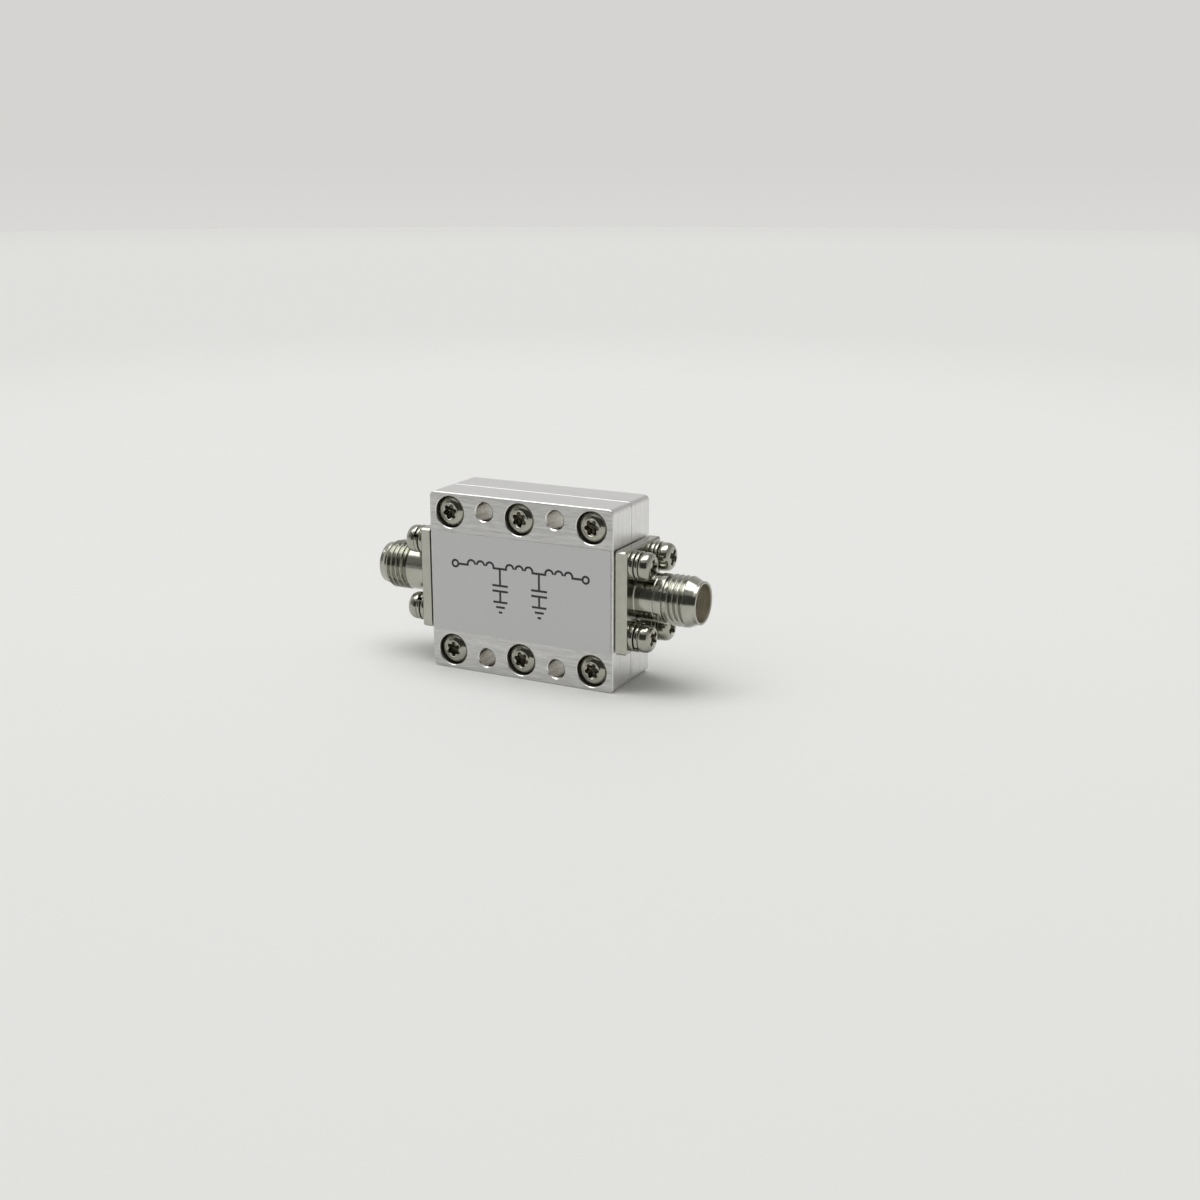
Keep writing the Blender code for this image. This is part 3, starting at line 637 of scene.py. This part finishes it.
def hole(x, z, side, radius, chamfer, low, finish=DRILLED, pilot=0.0):
    """A drill for one half with a chamfer at the outer face. low is how far from the seam it
    stops, where a narrower pilot may run on through the seam. Only its wall gets the finish."""
    start = [(0, -CUT_MARGIN), (pilot, -CUT_MARGIN), (pilot, low)] if pilot else [(0, low)]
    profile = [
        *start,
        (radius, low),
        (radius, HALF_DEPTH - chamfer),
        (radius + chamfer + CUT_MARGIN, HALF_DEPTH + CUT_MARGIN),
        (0, HALF_DEPTH + CUT_MARGIN),
    ]
    drill = finished(revolved(profile, steps=BORE_STEPS), finish)
    for face in drill.faces:
        if face.normal.z < SLOPES_DOWN:
            face.material_index = DRILLED
    return placed(drill, (x, 0, z), (0, side, 0))


def shared_holes(side):
    """The through holes and the flange screws' tapped holes of one half."""
    drills = [
        hole(x, z, side, MOUNT_HOLE_RADIUS, MOUNT_HOLE_CHAMFER, -CUT_MARGIN)
        for x, z in mount_hole_places()
    ]
    depth = FLANGE_SCREW_LENGTH - WASHER_STACK - FLANGE_THICKNESS + TAP_EXTRA_DEPTH
    for end in (-1, 1):
        for row in (-1, 1):
            z = AXIS_HEIGHT + row * FLANGE_SCREW_Z
            place = (end * HOUSING_END, side * FLANGE_SCREW_Y, z)
            drills.append(placed(rod(TAP_RADIUS, -CUT_MARGIN, depth), place, (-end, 0, 0)))
    return drills


def add_housing(*metals):
    """Both halves: counterbores for the sunk screws in front, tapped holes behind them."""
    front_tools, rear_tools = [channel(), *shared_holes(-1)], [channel(), *shared_holes(1)]
    web = HALF_DEPTH - COUNTERBORE_DEPTH
    for x, z in cover_screw_places():
        # The counterbore's wall takes the material painted darker as painted shade.
        bore = (COUNTERBORE_RADIUS, COUNTERBORE_CHAMFER, web, COUNTERBORED, TAP_RADIUS)
        front_tools.append(hole(x, z, -1, *bore))
        depth = COVER_SCREW_LENGTH - web + TAP_EXTRA_DEPTH
        rear_tools.append(placed(rod(TAP_RADIUS, -CUT_MARGIN, depth), (x, 0, z), (0, 1, 0)))
    front = combined(housing_block(-1), front_tools)
    rear = combined(housing_block(1), rear_tools)
    add_piece("front_housing_half", front, metals, "housing", "housing_front")
    add_piece("rear_housing_half", rear, metals, "housing", "housing_rear")


# Label


def ink_bar(left, right, top, height=INK_LINE):
    """A straight mark of the print."""
    size = (right - left, height, INK_THICKNESS)
    return block(size, ((left + right) / 2, top - height / 2, INK_THICKNESS / 2))


def ink_round(centre, radius, angle=None):
    """A ring, or the part of one that an angle from +X sweeps, drawn with the same line."""
    section = rectangle(radius - INK_LINE / 2, radius + INK_LINE / 2, INK_THICKNESS)
    if angle:
        bm = swept(section, angle, ARC_STEPS)
    else:
        bm = revolved(section, ring=True, steps=ARC_STEPS)
    bmesh.ops.translate(bm, vec=(*centre, 0), verts=bm.verts[:])
    return bm


def ladder_print():
    """The drawing of a low-pass ladder: a ring at each port, coils in line, and a capacitor to
    earth between each two."""
    turn = 2 * COIL_TURN_RADIUS + INK_LINE + INK_GAP
    coil = COIL_TURNS * turn
    port = PORT_LEAD + 2 * PORT_RING_RADIUS + INK_LINE
    span = COILS * coil + (COILS - 1) * COIL_LEAD + 2 * port
    marks = []
    x = -span / 2
    for side in (-1, 1):
        centre = side * (span / 2 - PORT_RING_RADIUS - INK_LINE / 2)
        marks.append(ink_round((centre, -INK_LINE / 2), PORT_RING_RADIUS))
    x += 2 * PORT_RING_RADIUS + INK_LINE
    marks.append(ink_bar(x, x + PORT_LEAD + INK_LINE, 0))
    x += PORT_LEAD
    for number in range(COILS):
        for _ in range(COIL_TURNS):
            marks.append(ink_round((x + turn / 2, 0), COIL_TURN_RADIUS, math.pi))
            x += turn
        if number < COILS - 1:
            marks.append(ink_bar(x - INK_LINE, x + COIL_LEAD + INK_LINE, 0))
            marks += earth_branch(x + COIL_LEAD / 2)
            x += COIL_LEAD
    marks.append(ink_bar(x - INK_LINE, x + PORT_LEAD, 0))
    return gathered(marks)


def earth_branch(x):
    """A lead down to a capacitor's two plates, and on to the three bars of an earth sign."""
    half, (upper, lower) = INK_LINE / 2, PLATE_LEVELS
    marks = [
        ink_bar(x - half, x + half, -INK_LINE, -INK_LINE - upper),
        ink_bar(x - half, x + half, lower - INK_LINE, lower - INK_LINE - GROUND_LEVELS[0]),
    ]
    for level in PLATE_LEVELS:
        marks.append(ink_bar(x - PLATE_WIDTH / 2, x + PLATE_WIDTH / 2, level))
    for level, width in zip(GROUND_LEVELS, GROUND_WIDTHS):
        marks.append(ink_bar(x - width / 2, x + width / 2, level))
    return marks


def add_label(film, ink):
    """The film on the front face, and its print."""
    width = HOUSING_LENGTH - 2 * LABEL_MARGIN
    middle = -HALF_DEPTH - FILM_THICKNESS / 2
    bm = block((width, FILM_THICKNESS, LABEL_HEIGHT), (0, middle, AXIS_HEIGHT))
    bevel(bm, deep_edges(bm), LABEL_CORNER_RADIUS, LABEL_CORNER_STEPS)
    add_piece("label_sticker", bm, [film], "label_film", "label")
    face = -HALF_DEPTH - FILM_THICKNESS
    drawing = placed(ladder_print(), (0, face, AXIS_HEIGHT + PRINT_RISE), (0, -1, 0))
    add_piece("label_print", drawing, [ink], "label_film")


# Fasteners


def head_crown(inner, outer, low, high, fullness=1.0):
    """The dome of a head, from (outer, low) to (inner, high). Under 1, fullness squares it."""
    made = []
    for step in range(CROWN_STEPS + 1):
        angle = math.pi / 2 * step / CROWN_STEPS
        across, up = max(0.0, math.cos(angle)) ** fullness, math.sin(angle) ** fullness
        made.append((inner + (outer - inner) * across, low + (high - low) * up))
    return made


def shank(length):
    """The outline of a screw's shank up to its head, with a chamfered point."""
    point = [(SHANK_RADIUS - SHANK_POINT, -length), (SHANK_RADIUS, SHANK_POINT - length)]
    return [(0, -length), *point, (SHANK_RADIUS, 0)]


def lobe_socket():
    """A six-lobe recess: a round outline drawn in between its lobes, with a drill point below."""
    floor = COVER_HEAD_HEIGHT - LOBE_DEPTH
    bm = rod(1.0, floor, COVER_HEAD_HEIGHT + CUT_MARGIN, LOBE_STEPS)
    for vert in bm.verts:
        notch = (1 - math.cos(LOBES * math.atan2(vert.co.y, vert.co.x))) / 2
        radius = LOBE_TIP_RADIUS + (LOBE_ROOT_RADIUS - LOBE_TIP_RADIUS) * notch**LOBE_FULLNESS
        vert.co.xy *= radius
    bottom = [face for face in bm.faces if face.normal.z < LOOKS_DOWN]
    bmesh.ops.inset_region(bm, faces=bottom, thickness=LOBE_FLOOR_INSET, use_even_offset=True)
    bmesh.ops.translate(bm, vec=(0, 0, -LOBE_CONE_DEPTH), verts=bottom[0].verts)
    lead_in = [
        (0, COVER_HEAD_HEIGHT - LOBE_LEAD_IN),
        (LOBE_TIP_RADIUS - LOBE_LEAD_IN / 2, COVER_HEAD_HEIGHT - LOBE_LEAD_IN),
        (LOBE_TIP_RADIUS + LOBE_LEAD_IN * 1.5, COVER_HEAD_HEIGHT + LOBE_LEAD_IN),
        (0, COVER_HEAD_HEIGHT + LOBE_LEAD_IN),
    ]
    return [finished(bm, DRILLED), revolved(lead_in)]


def cover_screw():
    """A button head that falls away from a flat ring round its socket to a rounded rim."""
    face = [(radius * MM, height * MM) for radius, height in COVER_HEAD_OUTLINE_MM]
    profile = [
        *shank(COVER_SCREW_LENGTH),
        *eased(face, COVER_HEAD_EASE),
        (COVER_HEAD_RING_RADIUS, COVER_HEAD_HEIGHT),
        (0, COVER_HEAD_HEIGHT),
    ]
    return combined(revolved(profile), lobe_socket())


def cross_socket():
    """A cross recess: two tapered wings and a wider middle, all narrower towards the bottom."""
    wings = []
    height = CROSS_DEPTH + CUT_MARGIN
    middle = PAN_HEAD_HEIGHT - CROSS_DEPTH + height / 2
    sizes = (
        (CROSS_SPAN, CROSS_WIDTH, 0),
        (CROSS_WIDTH, CROSS_SPAN, 0),
        (CROSS_CENTRE, CROSS_CENTRE, 45),
    )
    for length, width, turn in sizes:
        wing = block((length, width, height), (0, 0, middle))
        turned = Matrix.Rotation(math.radians(turn), 3, "Z")
        bmesh.ops.rotate(wing, cent=(0, 0, 0), matrix=turned, verts=wing.verts[:])
        low = [vert for vert in wing.verts if vert.co.z < PAN_HEAD_HEIGHT - CROSS_DEPTH / 2]
        bmesh.ops.scale(wing, vec=(CROSS_TAPER, CROSS_TAPER, 1), verts=low)
        wings.append(finished(wing, DRILLED))
    return wings


def pan_screw():
    """A domed pan head with a cross recess."""
    crown = head_crown(
        PAN_HEAD_FACE_RADIUS, PAN_HEAD_RADIUS, PAN_HEAD_SIDE, PAN_HEAD_HEIGHT, PAN_HEAD_FULLNESS
    )
    profile = [
        *shank(FLANGE_SCREW_LENGTH),
        (PAN_HEAD_RADIUS - PAN_HEAD_UNDERCUT, 0),
        (PAN_HEAD_RADIUS - PAN_HEAD_UNDERCUT / 3, PAN_HEAD_UNDERCUT / 3),
        (PAN_HEAD_RADIUS, PAN_HEAD_UNDERCUT),
        *crown,
        (0, PAN_HEAD_HEIGHT),
    ]
    return combined(revolved(profile), cross_socket())


def washer_section(thickness):
    """The section of a washer, with its edges rounded."""
    section = rectangle(WASHER_BORE_RADIUS, WASHER_RADIUS, thickness)
    return eased(section, WASHER_EASE, ring=True)


def flat_washer():
    """A plain ring with soft edges."""
    return revolved(washer_section(FLAT_WASHER_THICKNESS), ring=True)


def spring_washer():
    """One turn of square wire with a gap, pressed almost flat: its end still stands up a little."""
    angle = 2 * math.pi - SPRING_WASHER_GAP / WASHER_RADIUS
    section = washer_section(SPRING_WASHER_THICKNESS)
    return swept(section, angle, TURN_STEPS, SPRING_WASHER_LIFT)


def add_cover_screws(*metals):
    """The six screws that hold the halves together."""
    seat = COUNTERBORE_DEPTH - HALF_DEPTH
    screw = cover_screw()
    for index, (x, z) in enumerate(cover_screw_places()):
        turned = placed(screw.copy(), (x, seat, z), (0, -1, 0), COVER_SCREW_TURNS[index])
        number = index + 1
        add_piece(f"sunk_screw_{number}", turned, metals, "fasteners", f"cover_screw_{number}")
    screw.free()


def add_flange_fasteners(*metals):
    """A flat washer, a split washer and a screw at each hole of the flanges."""
    kinds = (
        ("plain_washer", flat_washer(), 0, "flat_washer"),
        ("split_washer", spring_washer(), FLAT_WASHER_THICKNESS, "spring_washer"),
        ("pan_screw", pan_screw(), WASHER_STACK, "flange_screw"),
    )
    face = HOUSING_END + FLANGE_THICKNESS
    number = 0
    for end in (-1, 1):
        for row in (1, -1):
            for side in (-1, 1):
                y, z = side * FLANGE_SCREW_Y, AXIS_HEIGHT + row * FLANGE_SCREW_Z
                turn = FLANGE_SCREW_TURNS[number]
                number += 1
                for name, form, height, node_name in kinds:
                    place = (end * (face + height), y, z)
                    copy = placed(form.copy(), place, (end, 0, 0), turn)
                    replaced = f"{node_name}_{number}"
                    add_piece(f"{name}_{number}", copy, metals, "fasteners", replaced)


# Jacks


def cone_radius(height):
    """The outside of a jack over its thread and over the cone that leads down to its nose."""
    slope = (THREAD_RADIUS - NOSE_RADIUS) / (NOSE_START - CONE_START)
    return THREAD_RADIUS - max(0, height - CONE_START) * slope


def thread_rod(start, end):
    """The threaded length as one closed rod: a thread form spun up as a helix, cut square at
    both ends, closed, and drawn in to the cone. Its top ends just inside the cone's metal."""
    bottom, top = THREAD_START + THREAD_RELIEF, end + THREAD_ROOT_RISE
    root = THREAD_RADIUS - THREAD_DEPTH
    crest, flank = THREAD_PITCH / 8, THREAD_DEPTH * math.tan(THREAD_FLANK_ANGLE)
    form = [
        (root, 0),
        (THREAD_RADIUS, flank),
        (THREAD_RADIUS, flank + crest),
        (root, 2 * flank + crest),
        (root, THREAD_PITCH),
    ]
    form = eased(form, THREAD_EASE)
    bm = bmesh.new()
    verts = [bm.verts.new((radius, 0, bottom + start - THREAD_PITCH + z)) for radius, z in form]
    edges = [bm.edges.new(pair) for pair in zip(verts, verts[1:])]
    turns = math.ceil((top - bottom) / THREAD_PITCH) + THREAD_SPARE_TURNS
    bmesh.ops.spin(
        bm, geom=[*verts, *edges], cent=(0, 0, 0), axis=(0, 0, 1),
        dvec=(0, 0, THREAD_PITCH / TURN_STEPS), angle=2 * math.pi * turns, steps=TURN_STEPS * turns,
    )
    bmesh.ops.remove_doubles(bm, verts=bm.verts[:], dist=WELD)
    for height, outwards in ((bottom, (0, 0, -1)), (top, (0, 0, 1))):
        whole = [*bm.verts, *bm.edges, *bm.faces]
        bmesh.ops.bisect_plane(
            bm, geom=whole, dist=WELD, plane_co=(0, 0, height), plane_no=outwards, clear_outer=True
        )
    bmesh.ops.holes_fill(bm, edges=[edge for edge in bm.edges if edge.is_boundary])
    for vert in bm.verts:
        radius = vert.co.xy.length
        limit = cone_radius(vert.co.z) - (THREAD_END_SINK if vert.co.z > end else 0)
        if radius > limit:
            vert.co.xy *= limit / radius
    bmesh.ops.recalc_face_normals(bm, faces=bm.faces[:])
    return bm


def jack_barrel(radius, end):
    """The turned outside without its thread, from inside the flange to the nose. Where the
    barrel is thinner than the collar, a fine groove parts them. Its cone stands just clear of
    the thread's, so that no two faces share a place."""
    step = COLLAR_RADIUS - radius
    profile = [
        (0, FLANGE_THICKNESS / 2),
        (radius + 2 * BARREL_FILLET, FLANGE_THICKNESS / 2),
        (radius + 2 * BARREL_FILLET, FLANGE_THICKNESS - BARREL_FILLET),
        (radius, FLANGE_THICKNESS + BARREL_FILLET),
    ]
    if step > WELD:
        profile += [
            (radius, COLLAR_START - COLLAR_GROOVE),
            (radius - COLLAR_GROOVE / 2, COLLAR_START),
            (COLLAR_RADIUS, COLLAR_START + COLLAR_GROOVE),
        ]
    profile += [
        (COLLAR_RADIUS, THREAD_START),
        (NOSE_RADIUS, THREAD_START),
        (NOSE_RADIUS, end - THREAD_RUNOUT),
        (cone_radius(end) + CONE_STAND, end),
        (NOSE_RADIUS, NOSE_START),
        (NOSE_RADIUS, JACK_LENGTH - NOSE_EDGE_BREAK),
        (NOSE_RADIUS - NOSE_EDGE_BREAK, JACK_LENGTH),
        (0, JACK_LENGTH),
    ]
    return revolved(eased(profile, TURNED_EASE))


def jack_bore():
    """The mating socket, the bore for the bead and the seat of the bead's collar."""
    bead_bore, collar_bore = BEAD_RADIUS + FIT_CLEARANCE, BEAD_COLLAR_RADIUS + FIT_CLEARANCE
    profile = [
        (0, -CUT_MARGIN),
        (collar_bore, -CUT_MARGIN),
        (collar_bore, BEAD_COLLAR_LENGTH),
        (bead_bore, BEAD_COLLAR_LENGTH),
        (bead_bore, BEAD_LENGTH),
        (SOCKET_RADIUS, BEAD_LENGTH),
        (SOCKET_RADIUS, JACK_LENGTH - SOCKET_LEAD_IN),
        (SOCKET_RADIUS + SOCKET_LEAD_IN + CUT_MARGIN, JACK_LENGTH + CUT_MARGIN),
        (0, JACK_LENGTH + CUT_MARGIN),
    ]
    return finished(revolved(profile), DRILLED)


def jack(radius, start, end):
    """Flange, barrel and thread in one piece, with its barrel's radius, where its thread starts
    in its turn and where it ends. Its back face is at Z = 0."""
    size = (FLANGE_DEPTH, FLANGE_HEIGHT, FLANGE_THICKNESS - FLANGE_SEAT)
    flange = block(size, (0, 0, (FLANGE_THICKNESS + FLANGE_SEAT) / 2))
    rim = [e for e in flange.edges if all(v.co.z < FLANGE_SEAT + WELD for v in e.verts)]
    bevel(flange, [e for e in flange.edges if e not in rim], FLANGE_EDGE_BREAK, 1)
    back = [face for face in flange.faces if face.normal.z < LOOKS_DOWN]
    bevel(flange, back[0].edges[:], FLANGE_BACK_BREAK, 2)
    inset = 2 * FLANGE_SEAT_INSET
    seat = (FLANGE_DEPTH - inset, FLANGE_HEIGHT - inset, 2 * FLANGE_SEAT)
    forms = [block(seat, (0, 0, FLANGE_SEAT)), jack_barrel(radius, end), thread_rod(start, end)]
    solid = combined(flange, forms, "UNION")
    drills = [jack_bore()]
    for y in (-FLANGE_SCREW_Y, FLANGE_SCREW_Y):
        for z in (-FLANGE_SCREW_Z, FLANGE_SCREW_Z):
            drill = rod(FLANGE_HOLE_RADIUS, -CUT_MARGIN, FLANGE_THICKNESS + CUT_MARGIN)
            drills.append(placed(drill, (y, z, 0), (0, 0, 1)))
    return combined(solid, drills)


def bead():
    """The insulator, with a collar behind and a step inside that stops the contact."""
    tail_bore, contact_bore = TAIL_RADIUS + FIT_CLEARANCE, CONTACT_RADIUS + FIT_CLEARANCE
    profile = [
        (tail_bore, 0),
        (BEAD_COLLAR_RADIUS, 0),
        (BEAD_COLLAR_RADIUS, BEAD_COLLAR_LENGTH),
        (BEAD_RADIUS, BEAD_COLLAR_LENGTH),
        (BEAD_RADIUS, BEAD_LENGTH),
        (contact_bore, BEAD_LENGTH),
        (contact_bore, BEAD_STEP_LENGTH),
        (tail_bore, BEAD_STEP_LENGTH),
    ]
    return revolved(eased(profile, TURNED_EASE, ring=True), ring=True)


def contact():
    """The slotted socket, the shoulder on the bead's step and the tail pin."""
    profile = [
        (0, -TAIL_REACH),
        (TAIL_RADIUS, -TAIL_REACH),
        (TAIL_RADIUS, BEAD_STEP_LENGTH),
        (CONTACT_RADIUS, BEAD_STEP_LENGTH),
        (CONTACT_RADIUS, BEAD_LENGTH),
        (0, BEAD_LENGTH),
    ]
    floor, top = BEAD_LENGTH - CONTACT_SOCKET_DEPTH, BEAD_LENGTH + CUT_MARGIN
    tools = [rod(CONTACT_SOCKET_RADIUS, floor, top)]
    reach, height = 2 * (CONTACT_RADIUS + CUT_MARGIN), CONTACT_SLOT_DEPTH + CUT_MARGIN
    for size in ((reach, CONTACT_SLOT_WIDTH), (CONTACT_SLOT_WIDTH, reach)):
        tools.append(block((*size, height), (0, 0, BEAD_LENGTH - CONTACT_SLOT_DEPTH + height / 2)))
    return combined(revolved(eased(profile, TURNED_EASE)), tools)


def add_jacks(steel, plastic, gold):
    """Both jacks, with their beads and contacts."""
    outsides = zip(BARREL_RADII, THREAD_STARTS, THREAD_ENDS)
    for (end, side), outside in zip(((-1, "left"), (1, "right")), outsides):
        kinds = (
            ("jack", jack(*outside), steel, "jacks", "connector"),
            ("bead", bead(), [plastic], "insulator", "dielectric"),
            ("socket_contact", contact(), [gold], "gold_plate", "contact"),
        )
        for name, form, materials, slot, node_name in kinds:
            form = placed(form, (end * HOUSING_END, 0, AXIS_HEIGHT), (end, 0, 0))
            add_piece(f"{side}_{name}", form, materials, slot, f"{node_name}_{side}")


def dress_inner_line(gold, plastic):
    """The filter line and its sleeves keep their CAD form, because the housing hides them."""
    finishes = {"inner_conductor": gold}
    for number in range(1, SLEEVES + 1):
        finishes[f"sleeve_{number}"] = plastic
    for name, material in finishes.items():
        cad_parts[name].material_slots[0].material = material


# Studio

TABLE_RADIUS = 1.44
TABLE_LIGHT_POOL_CENTRE = (-0.07, 0.13, 0.0)
TABLE_LIGHT_POOL_FADE = (0.13, 0.27)
TABLE_FAR_FADE = (0.9, 1.45)
TABLE_STEPS = 128

# Where the room's colours fade, by a direction's part along Z or X
ROOM_FOOT = (-0.045, 0.0)
ROOM_RISE = (0.1, 0.45)
ROOM_RIGHT = (-0.3, 0.2)

# A lamp's name, the way to it, its width in degrees and its strength
LAMPS = (
    ("ceiling softbox", (0.02, -0.02, 1.0), 46, 1.5),
    ("left softbox", (-0.44, -0.24, 0.87), 26, 0.34),
)

# A flag's name and colour, its sides in degrees round from -Y, its foot and its top
FLAGS = (
    ("black_flag", "484846", -35, 53, 0.0, 0.42),
    ("grey_flag", "a0a09e", -62, -35, 0.08, 0.45),
)
FLAG_DISTANCE = 0.45
FLAG_PANELS = 12

# The lens and the sensor are in millimetres
CAMERA_PLACE = (0.09114, -0.16292, 0.06136)
CAMERA_AIM = (-0.4357, 0.8584, -0.2707)
CAMERA_LENS = 46.49
CAMERA_SENSOR = 36
CAMERA_RANGE = (0.01, 10)


def add_table():
    """A wide pale table, with a painted pool of light round and behind the object. It fades
    towards its far edge, so that the horizon is soft."""
    bm = bmesh.new()
    bmesh.ops.create_circle(bm, cap_ends=True, segments=TABLE_STEPS, radius=TABLE_RADIUS)
    table = loose_object("table", bm)
    material, tree, shader = new_material(
        "matte white table", Roughness=0.75, Specular_IOR_Level=0.2
    )
    coordinates = node(tree, "ShaderNodeTexCoord").outputs["Object"]
    inputs = {0: coordinates, 1: TABLE_LIGHT_POOL_CENTRE}
    away = node(tree, "ShaderNodeVectorMath", inputs, operation="DISTANCE").outputs["Value"]
    pale = fading(tree, "dfdfdd", "e0e0de", grains(tree, 60 * MM))
    # Painted pool of light: paler near the object, a little darker beyond.
    painted_light_pool = fading(tree, pale, "d9d9d7", away, TABLE_LIGHT_POOL_FADE)
    far = fading(tree, painted_light_pool, "d2d2d0", away, TABLE_FAR_FADE)
    tree.links.new(far, shader.inputs["Base Color"])
    table.data.materials.append(material)


def add_world():
    """A pale room: palest low down, dimmer high up on the right, away from the windows."""
    world = bpy.data.worlds.new("pale room")
    bpy.context.scene.world = world
    world.use_nodes = True
    tree = world.node_tree
    direction = node(tree, "ShaderNodeTexCoord").outputs["Generated"]
    parts = node(tree, "ShaderNodeSeparateXYZ", {0: direction}).outputs
    low = fading(tree, "dad9d7", "d5d4d2", parts["Z"], ROOM_FOOT)
    high = fading(tree, "cfcfce", "a6a6a5", parts["X"], ROOM_RIGHT)
    room = fading(tree, low, high, parts["Z"], ROOM_RISE)
    tree.links.new(room, tree.nodes["Background"].inputs["Color"])


def add_lamp(name, towards, width, strength):
    """A soft light high above. It is a sun lamp so that it lights the whole table evenly."""
    data = bpy.data.lights.new(name, "SUN")
    data.angle = math.radians(width)
    data.energy = strength
    lamp = bpy.data.objects.new(name, data)
    lamp.rotation_euler = Vector(towards).to_track_quat("Z", "Y").to_euler()
    bpy.context.scene.collection.objects.link(lamp)


def add_flag(name, colour, left, right, low, high):
    """A cloth round the front of the object, past the camera, which gives bright metal its dark
    bands. Only reflections see it, so it isn't in the way of another view."""
    bm = bmesh.new()
    bmesh.ops.create_grid(bm, x_segments=FLAG_PANELS, y_segments=1, size=0.5)
    for vert in bm.verts:
        angle = math.radians(left + (vert.co.x + 0.5) * (right - left))
        height = low + (vert.co.y + 0.5) * (high - low)
        vert.co = (FLAG_DISTANCE * math.sin(angle), -FLAG_DISTANCE * math.cos(angle), height)
    flag = loose_object(name, bm)
    flag.data.materials.append(new_material(name, Base_Color=linear(colour), Roughness=0.9)[0])
    flag.visible_camera = False
    flag.visible_diffuse = False
    flag.visible_shadow = False


def add_camera():
    """The photograph's camera, fitted to the corners of the housing."""
    data = bpy.data.cameras.new("camera")
    data.sensor_width = CAMERA_SENSOR
    data.lens = CAMERA_LENS
    data.clip_start, data.clip_end = CAMERA_RANGE
    camera = bpy.data.objects.new("camera", data)
    camera.location = CAMERA_PLACE
    camera.rotation_euler = Vector(CAMERA_AIM).to_track_quat("-Z", "Y").to_euler()
    bpy.context.scene.collection.objects.link(camera)
    bpy.context.scene.camera = camera


def build():
    """The object, piece by piece, and then the studio round it."""
    # The recess material paints shade into the screws' recesses.
    nickel, recess = nickel_plate(), shaded_recess_metal()
    gold, plastic = gold_plate(), ptfe()
    add_housing(milled_aluminium(), drilled_aluminium(), shaded_counterbore_aluminium())
    add_label(label_film(), thermal_ink())
    add_cover_screws(nickel, recess)
    add_flange_fasteners(nickel, recess)
    add_jacks((turned_steel(), bored_steel()), plastic, gold)
    dress_inner_line(gold, plastic)
    add_table()
    add_world()
    for lamp in LAMPS:
        add_lamp(*lamp)
    for flag in FLAGS:
        add_flag(*flag)
    add_camera()
    bpy.context.scene.view_settings.view_transform = "Standard"


build()
